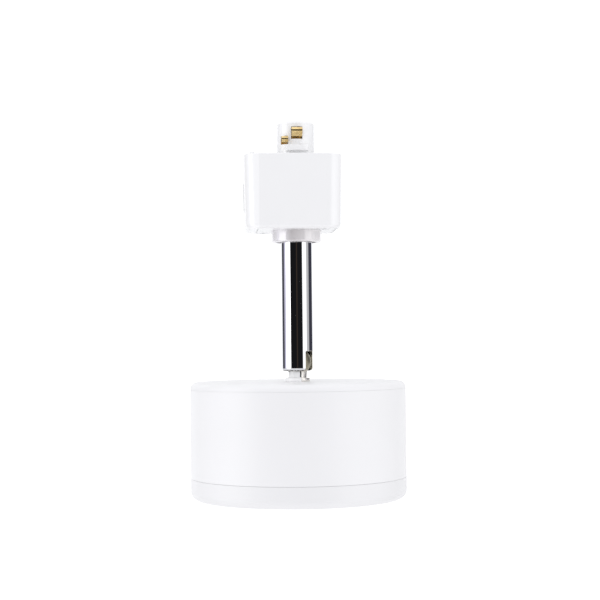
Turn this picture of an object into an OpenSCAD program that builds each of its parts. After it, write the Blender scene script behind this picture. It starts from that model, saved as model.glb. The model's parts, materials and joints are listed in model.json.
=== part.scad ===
// Track spotlight: a twist-in rail adapter, a swivelling tube, a ball joint and
// a drum-shaped head that holds a flat twist-in lamp.
// The origin is where the swivel axis meets the adapter's seating face.
// +Z points up into the rail, X runs along the rail and -Y is the front.

/* [Rail adapter] */
// Length of the adapter along the rail
adapter_w = 39.6; // [39.6:0.1:41]
// Depth of the adapter across the rail
adapter_d = 35; // [35:0.5:37]
// Height of the adapter below the rail
adapter_h = 30; // [30:0.5:33]
// Corner radius of the adapter seen from above
adapter_r = 6.1; // [5:0.1:7]
// How far each side leans in from top to bottom
adapter_draft = 0.5; // [0.2:0.1:0.6]
// Radius along the adapter's bottom edge
adapter_edge_r = 2; // [1:0.1:2.2]
// How far the adapter's box sits to the left of the swivel axis
box_shift = 2; // [1.5:0.1:2.2]
// Diameter of the plug that stands in the rail
tower_dia = 15.6; // [15.2:0.1:16]
// Height of the plug above the seating face
tower_h = 14.6; // [14:0.2:16]
// Travel of the release latch
latch_travel = 3; // [2:0.5:3]

/* [Stem] */
// Outer diameter of the collar under the adapter
collar_dia = 20.4; // [20:0.1:20.8]
// Height of the collar
collar_h = 4.75; // [4:0.05:5.5]
// Outer diameter of the tube
tube_dia = 13; // [12.9:0.05:13.3]
// Depth of the tube's lower end below the seating face
tube_bottom = 87.3; // [80:0.1:100]
// Height of the tilt slot above the tube's lower end
slot_h = 8.2; // [8.1:0.1:8.6]
// Width of the tilt slot
slot_w = 8.4; // [8.3:0.05:8.8]
// Heading of the tilt slot at rest, from the front towards the right
slot_heading = 66; // [0:1:90]
// Half of the swivel's range
swivel_limit = 170; // [90:1:170]

/* [Head] */
// Outer diameter of the head
head_dia = 88; // [87:0.5:92]
// Height of the cap's rim
cap_h = 2.8; // [2.6:0.1:3.4]
// Height of the shell between the cap and the trim ring
shell_h = 35.9; // [35.5:0.1:38]
// Height of the trim ring
ring_h = 8.8; // [8.4:0.1:9.6]

/* [Lamp] */
// Diameter of the lamp
lamp_dia = 75; // [74:0.5:75]
// Distance between the lamp's two pins
pin_pitch = 53; // [53:1:53]
// Turn that locks the lamp in its holder
lamp_twist = 20; // [15:1:22]
// Number of LED chips in the outer ring
outer_chips = 12; // [8:1:14]
// Number of LED chips in the inner ring
inner_chips = 6; // [4:1:7]

/* [Hidden] */
$fn = 64;

// Gap between parts that slide or turn on each other
run = 0.05;
// Overshoot of a cut beyond the surface it leaves
cut = 1;
// How far two shapes of one piece reach into each other
sink = 0.5;
// Free play round a piece that stays put
slack = 0.1;

// Adapter. X positions on the box count from its middle towards the latch.
top_wall = 3.2;
cover_t = 2.2;
cover_size = [31.4, 29];
cover_x = -1.6;
cover_r = 3;
seam = 0.15;
cover_z = -(adapter_h - cover_t);
cavity_min = [-16, -13.5];
cavity_max = [13, 13.5];
latch_bay_end = 14.9;
screw_posts = [[-12.3, 10.3], [11.2, -10.3]];
post_dia = 5.4;
post_h = 13;
cover_screw_dia = 2.4;
cover_screw_len = 10;
cover_screw_end = 1;
cover_head_dia = 4.6;
cover_recess = [2.6, 0.9];

// Contact tower and its blades
flange_size = [18, 24, 2];
flange_z = -top_wall - flange_size[2];
tower_screw_y = 10;
tower_screw_dia = 2.2;
tower_screw_head = [4, 1.4];
tower_screw_bite = 2.4;
tower_chamfer = 1;
lug_z = [2.1, 4.4];
lug_w = 9;
lug_reach = 10.6;
blade_t = 0.7;
blade_w = 4.4;
earth_blade_w = 2.6;
earth_x = -4.9;
blade_tail_z = -10;
// Bends of a blade from its tail to its free end: distance from the middle and height
line_path = [[3.8, blade_tail_z], [3.8, 11.2], [9.4, 11.2], [10.2, 10.2], [8, 8.2]];
earth_path = [[3.4, blade_tail_z], [3.4, 7.6], [8.6, 7.6], [9.2, 6.8], [7.6, 5.8]];
pocket_d = 2.1;
window_over = 0.8;
window_under = 4.2;
earth_window_under = 2.6;

// Release latch, in the end wall of the adapter, as if that wall were on the right
latch_x = [15.1, 17.1];
latch_w = 10;
latch_top = 2.2;
latch_bottom = -19.6;
latch_gap = 0.12;
grip_x = 19;
grip_z = [-19.2, -10.8];
grip_w = 9;
grip_ribs = 4;
rib = [0.8, 0.9];
rib_pitch = 2;
foot_x = 10.8;
foot_w = 4;
foot_t = 1.8;
spring_x = 12.4;
latch_spring_r = 1.35;
latch_spring_wire = 0.45;
latch_spring_turns = 5;
spring_peg_h = 1.5;

// Swivel between the adapter and the tube
bush_flange = [16.4, 1];
bush_dia = 10.6;
nipple_dia = 8;
nipple_bore = 5.6;
nipple_top = -21.6;
nipple_bottom = -46;
nipple_flat = 3.4;
washer_dia = 14;
thrust_t = 0.5;
wave_h = 0.8;
wave_t = 0.3;
stop_t = 0.8;
nut_h = 3;
nut_af = 13;
wave_count = 3;
wave_gap = 0.01;
wave_inset = 0.5;
thrust_z = cover_z + run;
wave_z = thrust_z + thrust_t;
stop_z = wave_z + wave_h;
nut_z = stop_z + stop_t;
stop_r = 9.5;
stop_post_over = 0.3;
// The stop post and the stop tab share the angle that the swivel can't reach
stop_post_dia = 2 * stop_r * sin((180 - swivel_limit) / 2) - 2 * run;
peg_dia = 1.4;
peg_r = 9.2;
collar_bore = 16.6;
collar_edge_r = 0.8;

// Tube, ball joint and its spring
tube_top = -adapter_h - bush_flange[1] - 2 * run;
tube_bore = 11.4;
lip_h = 2.3;
lip_bore = 9.8;
lip_r = 1.2;
slot_corner_r = 0.6;
ball_r = 5.5;
ball_z = -tube_bottom + 3.8;
neck_dia = 7.9;
flange_dia = 10;
flange_t = 1.5;
head_top = ball_z - 8.1;
stud_bottom = head_top - 9.4;
stud_bore = 4.6;
cup_z = [ball_z + 4.2, ball_z + 7.5];
cup_bore = 5;
ball_spring_r = 4.6;
ball_spring_wire = 1;
ball_spring_turns = 8;

// Head
head_r = head_dia / 2;
cap_t = 1.8;
cap_edge_r = 2.6;
rim_t = 2.2;
wall_t = 1.7;
spigot_t = 1.2;
cap_spigot_h = 2.6;
line_gap = 0.1;
cap_under = head_top - cap_t;
shell_top = head_top - cap_h;
shell_bottom = shell_top - shell_h;
head_bottom = shell_bottom - ring_h;
boss_r = head_r - 8;
boss_dia = 7.5;
boss_bottom = cap_under - 6.1;
boss_angles = [90, 210, 330];
lug_t = 2;
shell_lug_w = 9;
cap_screw_dia = 3;
cap_screw_head = [5.6, 2];
cap_screw_bite = 5;

// Bracket and lamp holder
bracket_t = 1.2;
bracket_w = 16;
bracket_flat = 21;
bracket_foot = [24.5, 34];
stud_washer_t = 1;
stud_washer_dia = 15;
stud_nut_h = 4.5;
lamp_face = head_bottom + 18.1;
holder_front = lamp_face + slack;
holder_h = 15;
holder_top = holder_front + holder_h;
holder_dia = 73;
holder_bore = 43;
keyhole_dia = 5.8;
key_slot_w = 3.4;
key_plate_t = 2.2;
key_depth = 6;
holder_screw_r = 29;
holder_screw_dia = 3.9;
holder_screw_head = [7, 2.4];
holder_screw_sink = 4;
contact_t = 0.6;
contact_w = 4;
contact_end = 7;
earth_y = 19;
earth_boss_h = 3;
earth_boss_dia = 8;
tag_t = 0.8;
tag_dia = 7.6;
tag_tail = [11, 3];
earth_screw_head = [7, 2.2];
contact_lift = 4.2;
contact_tail = 2;
pocket_lift = 3.4;
pocket_over = 2.5;

// Trim ring
ring_wall = 2;
ring_face_t = 2;
ring_edge_r = 3.5;
ring_opening = 77;
ring_spigot_h = 6.3;
clip_w = 6;
clip_t = 0.5;
clip_angles = [30, 150, 270];
clip_window = [7, 4.6];
clip_window_z = 0.6;
// Heights of a clip's ends and bends from the bottom of the shell
clip_bends = [-5, 1.2, 3, 4.8, ring_spigot_h];

// Lamp
boss_h = 9.5;
lamp_boss_r = 19;
lamp_wall = 1.6;
lamp_front = head_bottom + 1.2;
lamp_rim_z = lamp_front + 1.4;
lamp_rim_r = 1.6;
diffuser_r = 33.2;
diffuser_t = 1.5;
diffuser_flange_t = 1.2;
diffuser_edge_r = 1.2;
board_r = 34.5;
board_t = 1.6;
board_z = lamp_face - 10;
driver_r = 16.4;
driver_t = 1.4;
driver_z = lamp_face + 4.5;
chip = [2.8, 2.8, 0.8];
pin_dia = 2.9;
pin_head = [5, 3];
pin_neck = 2.5;
rivet = [4.4, 0.75];

// Wires
wire_dia = 1.6;
wire_ring = 1.15;
wire_gap = 0.9;
wire_beside = 1.3;
wire_over = 1.2;
head_wire_top = 2;
wire_sides = 8;
wire_steps = 12;

function unit(v) = v / norm(v);
function tangent(p, i) = unit(p[min(i + 1, len(p) - 1)] - p[max(i - 1, 0)]);
function polar(r, a, z) = [r * cos(a), r * sin(a), z];
function bezier(p, steps) = [
    for (i = [0:steps])
        let (t = i / steps, s = 1 - t)
            s * s * s * p[0] + 3 * s * s * t * p[1] + 3 * s * t * t * p[2] + t * t * t * p[3]
];

// Round wire along a list of points. The reference direction is never along the wire.
module sweep(path, r, reference, sides) {
    last = len(path) - 1;
    points = [
        for (i = [0:last])
            let (t = tangent(path, i), u = unit(cross(reference, t)), v = cross(t, u))
                for (k = [0:sides - 1])
                    path[i] + r * (cos(360 * k / sides) * u + sin(360 * k / sides) * v)
    ];
    skin = [
        for (i = [0:last - 1])
            for (k = [0:sides - 1])
                let (a = i * sides + k, b = i * sides + (k + 1) % sides)
                    each [[a, a + sides, b + sides], [a, b + sides, b]]
    ];
    start = [for (k = [0:sides - 1]) k];
    end = [for (k = [sides - 1:-1:0]) last * sides + k];
    polyhedron(points, concat([start], skin, [end]));
}

// Compression spring that stands on z = 0, with its wire's surface at both ends of the height
module coil(r, wire, turns, height) {
    steps = 18 * turns;
    path = [
        for (i = [0:steps])
            polar(r, 360 * turns * i / steps, wire / 2 + (height - wire) * i / steps)
    ];
    sweep(path, wire / 2 - 0.02, [0, 0, 1], wire_sides);
}

// Point beside the path's point i, where the two neighbouring edges of a strip meet
function mitre(p, i, d) =
    let (
        a = unit(i == 0 ? p[1] - p[0] : p[i] - p[i - 1]),
        b = unit(i == len(p) - 1 ? p[i] - p[i - 1] : p[i + 1] - p[i]),
        n = [-a.y - b.y, a.x + b.x]
    )
        p[i] + d * n / (1 + a * b);

// Flat metal strip bent along a path of [along, up] points and centred on its width
module bent_strip(path, t, w) {
    last = len(path) - 1;
    rotate([90, 0, 0])
        linear_extrude(w, center = true)
            polygon(concat(
                [for (i = [0:last]) mitre(path, i, t / 2)],
                [for (i = [last:-1:0]) mitre(path, i, -t / 2)]
            ));
}

module rounded_plate(size, r, t) {
    linear_extrude(t) {
        square([size.x - 2 * r, size.y], center = true);
        square([size.x, size.y - 2 * r], center = true);
        for (sx = [-1, 1], sy = [-1, 1])
            translate([sx * (size.x / 2 - r), sy * (size.y / 2 - r)])
                circle(r);
    }
}

module ring(outer_dia, inner_dia, h) {
    difference() {
        cylinder(d = outer_dia, h = h);
        translate([0, 0, -cut]) cylinder(d = inner_dia, h = h + 2 * cut);
    }
}

// Ring-shaped profile rectangle between two radii and two heights
module band(r_in, r_out, z_low, z_high) {
    translate([r_in, z_low]) square([r_out - r_in, z_high - z_low]);
}

// Corner piece that a round of the given radius removes. The signs point at the corner.
module corner_waste(x, z, r, sx, sz) {
    difference() {
        translate([sx > 0 ? x - r : x, sz > 0 ? z - r : z]) square(r);
        translate([x - sx * r, z - sz * r]) circle(r);
    }
}

// Screw standing on its head, with the shank pointing up
module pan_screw(shank_dia, shank_len, head) {
    cylinder(d = shank_dia, h = shank_len);
    difference() {
        translate([0, 0, -head[1]]) cylinder(d = head[0], h = head[1]);
        cross_recess(-head[1], head[0] / 2, head[1] / 2);
    }
}

module cross_recess(z, span, depth) {
    for (turn = [0, 90])
        rotate([0, 0, turn])
            translate([-span / 2, -span / 10, z - cut])
                cube([span, span / 5, depth + cut]);
}

// Everything below the swivel faces the slot heading. In its own frame the slot faces -Y.
module stem_frame() {
    rotate([0, 0, slot_heading]) children();
}

// ---------- Rail adapter ----------

// Everything that is centred on the adapter's box. Drawn with the latch on the right, and
// turned round so that the latch ends up on the left.
module box_frame() {
    translate([-box_shift, 0, 0]) rotate([0, 0, 180]) children();
}

module housing_outside() {
    hull()
        for (sx = [-1, 1], sy = [-1, 1]) {
            translate([sx * (adapter_w / 2 - adapter_r), sy * (adapter_d / 2 - adapter_r), -sink])
                cylinder(r = adapter_r, h = sink, $fn = 48);
            translate([
                sx * (adapter_w / 2 - adapter_draft - adapter_r),
                sy * (adapter_d / 2 - adapter_draft - adapter_r),
                -adapter_h + adapter_edge_r
            ])
                rotate_extrude($fn = 48)
                    translate([adapter_r - adapter_edge_r, 0])
                        circle(adapter_edge_r, $fn = 24);
        }
}

module adapter_housing() {
    color("white")
        difference() {
            box_frame()
                union() {
                    difference() {
                        housing_outside();
                        // Cavity, and the bay for the latch's foot and spring
                        translate([cavity_min.x, cavity_min.y, cover_z - cut])
                            cube([
                                cavity_max.x - cavity_min.x,
                                cavity_max.y - cavity_min.y,
                                -top_wall - cover_z + cut
                            ]);
                        translate([cavity_max.x - cut, -latch_w / 2 - latch_gap, cover_z - cut])
                            cube([
                                latch_bay_end - cavity_max.x + cut,
                                latch_w + 2 * latch_gap,
                                -top_wall - cover_z + cut
                            ]);
                    }
                    for (p = screw_posts)
                        translate([p.x, p.y, cover_z]) cylinder(d = post_dia, h = post_h);
                }
            box_frame() housing_cuts();
            // Opening for the tower, and the blind holes of its screws
            translate([0, 0, -top_wall - cut])
                cylinder(d = tower_dia + 4 * run, h = top_wall + 2 * cut);
            for (s = [-1, 1])
                translate([0, s * tower_screw_y, -top_wall - cut])
                    cylinder(d = tower_screw_dia + 2 * run, h = tower_screw_bite + cut);
        }
}

// Seat of the cover, its screw holes, and the latch's channel and finger window
module housing_cuts() {
    translate([cover_x, 0, -adapter_h - cut])
        rounded_plate(
            [cover_size.x + 2 * seam, cover_size.y + 2 * seam],
            cover_r + seam,
            cover_t + cut
        );
    for (p = screw_posts)
        translate([p.x, p.y, cover_z - cut])
            cylinder(d = cover_screw_dia + 2 * run, h = cover_screw_len + cut);
    translate([latch_x[0] - latch_gap - cut, -latch_w / 2 - latch_gap, cover_z - cut])
        cube([
            latch_x[1] - latch_x[0] + 2 * latch_gap + cut,
            latch_w + 2 * latch_gap,
            -cover_z + 2 * cut
        ]);
    translate([latch_x[1], -grip_w / 2 - latch_gap, grip_z[0] - latch_travel - latch_gap])
        cube([
            adapter_w / 2,
            grip_w + 2 * latch_gap,
            grip_z[1] - grip_z[0] + latch_travel + 2 * latch_gap
        ]);
}

module adapter_cover() {
    color("white") {
        difference() {
            box_frame()
                translate([cover_x, 0, -adapter_h]) rounded_plate(cover_size, cover_r, cover_t);
            translate([0, 0, -adapter_h - cut])
                cylinder(d = bush_dia + 2 * run, h = cover_t + 2 * cut);
            for (a = boss_angles)
                translate(polar(peg_r, a, -adapter_h - cut))
                    cylinder(d = peg_dia + 2 * run, h = cover_t + 2 * cut, $fn = 32);
            box_frame()
                for (p = screw_posts)
                    translate([p.x, p.y, -adapter_h]) {
                        translate([0, 0, -cut])
                            cylinder(d = cover_screw_dia + 4 * run, h = cover_t + 2 * cut);
                        countersink(cover_head_dia + 4 * run);
                    }
        }
        // Post that ends the swivel's turn, and the peg that centres the latch spring
        translate([stop_r, 0, cover_z - sink])
            cylinder(
                d = stop_post_dia,
                h = sink + stop_z + stop_t + stop_post_over - cover_z,
                $fn = 32
            );
        box_frame()
            translate([spring_x, 0, cover_z - sink])
                cylinder(r = latch_spring_r - latch_spring_wire, h = sink + spring_peg_h, $fn = 32);
    }
}

module countersink(head) {
    cylinder(d1 = head, d2 = cover_screw_dia, h = (head - cover_screw_dia) / 2);
}

module cover_screws() {
    color("gainsboro")
        box_frame()
            for (p = screw_posts)
                translate([p.x, p.y, -adapter_h])
                    difference() {
                        union() {
                            countersink(cover_head_dia);
                            cylinder(
                                d = cover_screw_dia,
                                h = cover_t + cover_screw_len - cover_screw_end
                            );
                        }
                        cross_recess(0, cover_recess[0], cover_recess[1]);
                    }
}

module contact_tower() {
    color("whitesmoke")
        difference() {
            union() {
                translate([0, 0, flange_z])
                    cylinder(d = tower_dia, h = tower_h - flange_z - tower_chamfer);
                translate([0, 0, tower_h - tower_chamfer])
                    cylinder(
                        d1 = tower_dia,
                        d2 = tower_dia - 2 * tower_chamfer,
                        h = tower_chamfer
                    );
                translate([-flange_size.x / 2, -flange_size.y / 2, flange_z]) cube(flange_size);
                // Lugs that hold above the rail's lips
                intersection() {
                    translate([-lug_w / 2, -lug_reach, lug_z[0]])
                        cube([lug_w, 2 * lug_reach, lug_z[1] - lug_z[0]]);
                    cylinder(r = lug_reach, h = tower_h);
                }
            }
            blade_pocket(line_path, blade_w, window_under);
            rotate([0, 0, 180]) blade_pocket(line_path, blade_w, window_under);
            translate([earth_x, 0, 0])
                rotate([0, 0, 180])
                    blade_pocket(earth_path, earth_blade_w, earth_window_under);
            for (s = [-1, 1])
                translate([0, s * tower_screw_y, flange_z - cut])
                    cylinder(d = tower_screw_dia + 2 * slack, h = flange_size.z + 2 * cut, $fn = 32);
        }
}

// Room for a blade that bends out towards +Y, and the window it leaves through
module blade_pocket(path, w, under) {
    top = path[1].y + window_over;
    translate([-w / 2 - slack, path[0].x - pocket_d / 2, flange_z - cut])
        cube([w + 2 * slack, pocket_d, top - flange_z + cut]);
    translate([-w / 2 - slack, path[0].x, top - window_over - under])
        cube([w + 2 * slack, lug_reach, under + window_over]);
}

// Blade that rises in the tower, bends out through its window and folds back
module live_contact() {
    color("darkgoldenrod") rotate([0, 0, 90]) bent_strip(line_path, blade_t, blade_w);
}

module neutral_contact() {
    color("darkgoldenrod") rotate([0, 0, -90]) bent_strip(line_path, blade_t, blade_w);
}

module earth_contact() {
    color("darkgoldenrod")
        translate([earth_x, 0, 0])
            rotate([0, 0, -90]) bent_strip(earth_path, blade_t, earth_blade_w);
}

module tower_screws() {
    color("silver")
        for (s = [-1, 1])
            translate([0, s * tower_screw_y, flange_z])
                pan_screw(
                    tower_screw_dia,
                    flange_size.z + tower_screw_bite - 2 * slack,
                    tower_screw_head
                );
}

// Wire from a blade's tail to the top of the nipple
module adapter_wire(x, y, heading) {
    start = [x, y, blade_tail_z - slack];
    end = polar(wire_ring, heading, nipple_top + wire_gap);
    sweep(
        bezier([start, start - [0, 0, 5], end + [0, 0, 6], end], wire_steps),
        wire_dia / 2,
        unit([y, -x, 0] + [0.01, 0, 0]),
        wire_sides
    );
}

module live_wire_adapter() {
    color("saddlebrown") adapter_wire(0, line_path[0].x, 90);
}

module neutral_wire_adapter() {
    color("steelblue") adapter_wire(0, -line_path[0].x, 330);
}

module earth_wire_adapter() {
    color("yellowgreen") adapter_wire(earth_x, -earth_path[0].x, 210);
}

module swivel_collar() {
    color("white") {
        rotate_extrude()
            difference() {
                band(collar_bore / 2, collar_dia / 2, -adapter_h - collar_h, -adapter_h);
                corner_waste(collar_dia / 2, -adapter_h - collar_h, collar_edge_r, 1, -1);
            }
        for (a = boss_angles)
            translate(polar(peg_r, a, -adapter_h - sink))
                cylinder(d = peg_dia, h = cover_t + sink, $fn = 32);
    }
}

module swivel_bush() {
    color("ivory")
        difference() {
            union() {
                translate([0, 0, -adapter_h - bush_flange[1]])
                    cylinder(d = bush_flange[0], h = bush_flange[1]);
                translate([0, 0, -adapter_h]) cylinder(d = bush_dia, h = cover_t);
            }
            translate([0, 0, -adapter_h - bush_flange[1] - cut])
                cylinder(d = nipple_dia + 2 * run, h = cover_t + bush_flange[1] + 2 * cut);
        }
}

module release_latch() {
    color("white")
        box_frame() {
            translate([latch_x[0], -latch_w / 2, latch_bottom])
                cube([latch_x[1] - latch_x[0], latch_w, latch_top - latch_bottom]);
            // Finger grip with its ribs
            translate([latch_x[1] - sink, -grip_w / 2, grip_z[0]])
                cube([grip_x - rib[0] / 2 - latch_x[1] + sink, grip_w, grip_z[1] - grip_z[0]]);
            for (i = [0:grip_ribs - 1])
                translate([grip_x - rib[0], -grip_w / 2, grip_z[0] + rib[0] + rib_pitch * i])
                    cube([rib[0], grip_w, rib[1]]);
            // Foot that the spring pushes on
            translate([foot_x, -foot_w / 2, latch_bottom])
                cube([latch_x[0] - foot_x + sink, foot_w, foot_t]);
        }
}

module latch_spring() {
    color("silver")
        translate([-box_shift - spring_x, 0, cover_z])
            coil(latch_spring_r, latch_spring_wire, latch_spring_turns, latch_bottom - cover_z);
}

// ---------- Stem ----------

module stem_tube() {
    slot_top = -tube_bottom + slot_h;
    color("silver")
        stem_frame()
            difference() {
                rotate_extrude()
                    difference() {
                        band(0, tube_dia / 2, -tube_bottom, tube_top);
                        corner_waste(tube_dia / 2, -tube_bottom, lip_r, 1, -1);
                    }
                // Bore, the seat under the ball, and the lip's opening
                translate([0, 0, -tube_bottom + lip_h])
                    cylinder(d = tube_bore, h = tube_bottom + tube_top);
                translate([0, 0, ball_z]) sphere(ball_r + run);
                translate([0, 0, -tube_bottom - cut]) cylinder(d = lip_bore, h = 2 * lip_h);
                // Tilt slot
                translate([-slot_w / 2, -tube_dia, -tube_bottom - cut])
                    cube([slot_w, tube_dia, slot_h + cut - slot_corner_r]);
                translate([-slot_w / 2 + slot_corner_r, -tube_dia, -tube_bottom])
                    cube([slot_w - 2 * slot_corner_r, tube_dia, slot_h]);
                for (s = [-1, 1])
                    translate([s * (slot_w / 2 - slot_corner_r), 0, slot_top - slot_corner_r])
                        rotate([90, 0, 0])
                            cylinder(r = slot_corner_r, h = tube_dia, $fn = 32);
            }
}

module swivel_nipple() {
    color("darkgray")
        stem_frame()
            difference() {
                union() {
                    translate([0, 0, nipple_bottom])
                        cylinder(d = tube_bore - run, h = tube_top - nipple_bottom);
                    translate([0, 0, nipple_bottom])
                        cylinder(d = nipple_dia, h = nipple_top - nipple_bottom);
                }
                translate([0, 0, nipple_bottom - cut])
                    cylinder(d = nipple_bore, h = nipple_top - nipple_bottom + 2 * cut);
                // Flat that keys the stop washer
                translate([-nipple_dia, nipple_flat, stop_z])
                    cube([2 * nipple_dia, nipple_dia, nipple_top - stop_z + cut]);
            }
}

module thrust_washer() {
    color("silver")
        translate([0, 0, thrust_z]) ring(washer_dia, nipple_dia + 4 * run, thrust_t);
}

// Spring washer with three waves round its ring
module wave_washer() {
    steps = 48;
    rise = (wave_h - wave_t) / 2 - wave_gap;
    r_in = nipple_dia / 2 + 2 * run;
    r_out = washer_dia / 2 - wave_inset;
    points = [
        for (i = [0:steps - 1])
            let (a = 360 * i / steps, z = wave_z + wave_gap + rise * (1 + cos(wave_count * a)))
                each [
                    polar(r_in, a, z),
                    polar(r_out, a, z),
                    polar(r_out, a, z + wave_t),
                    polar(r_in, a, z + wave_t)
                ]
    ];
    skin = [
        for (i = [0:steps - 1])
            for (k = [0:3])
                let (
                    a = 4 * i + k,
                    b = 4 * i + (k + 1) % 4,
                    c = 4 * ((i + 1) % steps) + (k + 1) % 4,
                    d = 4 * ((i + 1) % steps) + k
                )
                    each [[a, b, c], [a, c, d]]
    ];
    color("silver") polyhedron(points, skin);
}

module stop_washer() {
    tab_w = stop_post_dia;
    color("gray")
        translate([0, 0, stop_z])
            linear_extrude(stop_t)
                difference() {
                    union() {
                        circle(d = washer_dia);
                        translate([-stop_r - 1, -tab_w / 2]) square([stop_r, tab_w]);
                    }
                    rotate(slot_heading)
                        intersection() {
                            circle(d = nipple_dia + 2 * run);
                            translate([-nipple_dia, -nipple_dia])
                                square([2 * nipple_dia, nipple_dia + nipple_flat + run]);
                        }
                }
}

module nipple_nut() {
    color("silver")
        stem_frame()
            translate([0, 0, nut_z])
                difference() {
                    cylinder(d = nut_af / cos(30), h = nut_h, $fn = 6);
                    translate([0, 0, -cut]) cylinder(d = nipple_dia + run, h = nut_h + 2 * cut);
                }
}

module ball_spring() {
    color("silver")
        stem_frame()
            translate([0, 0, cup_z[1]])
                coil(ball_spring_r, ball_spring_wire, ball_spring_turns, nipple_bottom - cup_z[1]);
}

module ball_cup() {
    color("whitesmoke")
        stem_frame()
            difference() {
                translate([0, 0, cup_z[0]])
                    cylinder(d = tube_bore - 2 * run, h = cup_z[1] - cup_z[0]);
                translate([0, 0, ball_z]) sphere(ball_r + run);
                translate([0, 0, cup_z[0] - cut])
                    cylinder(d = cup_bore, h = cup_z[1] - cup_z[0] + 2 * cut);
            }
}

// The three wires between the swivel and the ball
module stem_wires() {
    top = nipple_top + wire_gap / 2;
    bottom = ball_z + ball_r + wire_gap / 3;
    color("whitesmoke")
        stem_frame()
            for (a = boss_angles)
                translate(polar(wire_ring, a, bottom))
                    cylinder(d = wire_dia, h = top - bottom, $fn = 24);
}

// ---------- Head ----------

module ball_stud() {
    color("tan")
        stem_frame()
            difference() {
                union() {
                    translate([0, 0, ball_z]) sphere(ball_r);
                    translate([0, 0, stud_bottom])
                        cylinder(d = neck_dia, h = ball_z - stud_bottom);
                    translate([0, 0, head_top]) cylinder(d = flange_dia, h = flange_t);
                }
                translate([0, 0, stud_bottom - cut])
                    cylinder(d = stud_bore, h = ball_z + ball_r - stud_bottom + 2 * cut);
            }
}

module top_cap() {
    color("white")
        stem_frame()
            difference() {
                union() {
                    rotate_extrude($fn = 128)
                        difference() {
                            union() {
                                band(neck_dia / 2 + run, head_r, cap_under, head_top);
                                band(head_r - rim_t, head_r, shell_top + line_gap / 2, head_top);
                                band(
                                    head_r - wall_t - run - spigot_t,
                                    head_r - wall_t - run,
                                    shell_top - cap_spigot_h,
                                    cap_under
                                );
                            }
                            corner_waste(head_r, head_top, cap_edge_r, 1, 1);
                        }
                    for (a = boss_angles)
                        translate(polar(boss_r, a, boss_bottom))
                            cylinder(d = boss_dia, h = cap_under - boss_bottom + sink);
                    translate([0, earth_y, cap_under - earth_boss_h])
                        cylinder(d = earth_boss_dia, h = earth_boss_h + sink);
                }
                for (a = boss_angles)
                    translate(polar(boss_r, a, boss_bottom - cut))
                        cylinder(d = cap_screw_dia + run, h = cap_screw_bite + cut + 3 * slack);
                translate([0, earth_y, cap_under - earth_boss_h - cut])
                    cylinder(d = holder_screw_dia + run, h = earth_boss_h + cut);
            }
}

module head_shell() {
    color("white")
        stem_frame()
            difference() {
                union() {
                    rotate_extrude($fn = 128)
                        band(
                            head_r - wall_t,
                            head_r,
                            shell_bottom + line_gap / 2,
                            shell_top - line_gap / 2
                        );
                    // Lugs under the cap's bosses
                    for (a = boss_angles)
                        rotate([0, 0, a])
                            translate([0, 0, boss_bottom - lug_t - slack])
                                intersection() {
                                    translate([boss_r - shell_lug_w / 2, -shell_lug_w / 2, 0])
                                        cube([head_r, shell_lug_w, lug_t]);
                                    cylinder(r = head_r - wall_t / 2, h = lug_t, $fn = 128);
                                }
                }
                for (a = boss_angles)
                    translate(polar(boss_r, a, boss_bottom - lug_t - cut))
                        cylinder(d = cap_screw_dia + 3 * slack, h = lug_t + 2 * cut);
            }
}

module cap_screws() {
    color("silver")
        stem_frame()
            for (a = boss_angles)
                translate(polar(boss_r, a, boss_bottom - lug_t - slack))
                    pan_screw(cap_screw_dia, lug_t + cap_screw_bite, cap_screw_head);
}

// Bridge that hangs from the stud and carries the lamp holder
module holder_bracket() {
    flat_z = cap_under - bracket_t / 2;
    foot_z = holder_top + bracket_t / 2;
    color("lightgray")
        stem_frame()
            difference() {
                bent_strip(
                    [
                        [-bracket_foot[1], foot_z],
                        [-bracket_foot[0], foot_z],
                        [-bracket_flat, flat_z],
                        [bracket_flat, flat_z],
                        [bracket_foot[0], foot_z],
                        [bracket_foot[1], foot_z]
                    ],
                    bracket_t,
                    bracket_w
                );
                translate([0, 0, cap_under - 2 * bracket_t])
                    cylinder(d = neck_dia + 2 * run, h = 3 * bracket_t);
                for (s = [-1, 1])
                    translate([s * holder_screw_r, 0, holder_top - cut])
                        cylinder(d = holder_screw_dia + run, h = bracket_t + 2 * cut);
            }
}

module stud_washer() {
    color("silver")
        stem_frame()
            translate([0, 0, cap_under - bracket_t - stud_washer_t])
                ring(stud_washer_dia, neck_dia + 4 * run, stud_washer_t);
}

module stud_nut() {
    color("silver")
        stem_frame()
            translate([0, 0, cap_under - bracket_t - stud_washer_t - stud_nut_h])
                difference() {
                    cylinder(d = nut_af / cos(30), h = stud_nut_h, $fn = 6);
                    translate([0, 0, -cut])
                        cylinder(d = neck_dia + run, h = stud_nut_h + 2 * cut);
                }
}

// Arc-shaped cut along the pins' path, from the locked place to the entry
module key_path(width, z_low, z_high) {
    for (s = [0, 180])
        rotate([0, 0, s + 90 - lamp_twist]) {
            rotate_extrude(angle = lamp_twist, $fn = 96)
                band((pin_pitch - width) / 2, (pin_pitch + width) / 2, z_low, z_high);
            for (a = [0, lamp_twist])
                translate(polar(pin_pitch / 2, a, z_low))
                    cylinder(d = width + 2 * slack, h = z_high - z_low, $fn = 48);
        }
}

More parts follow.
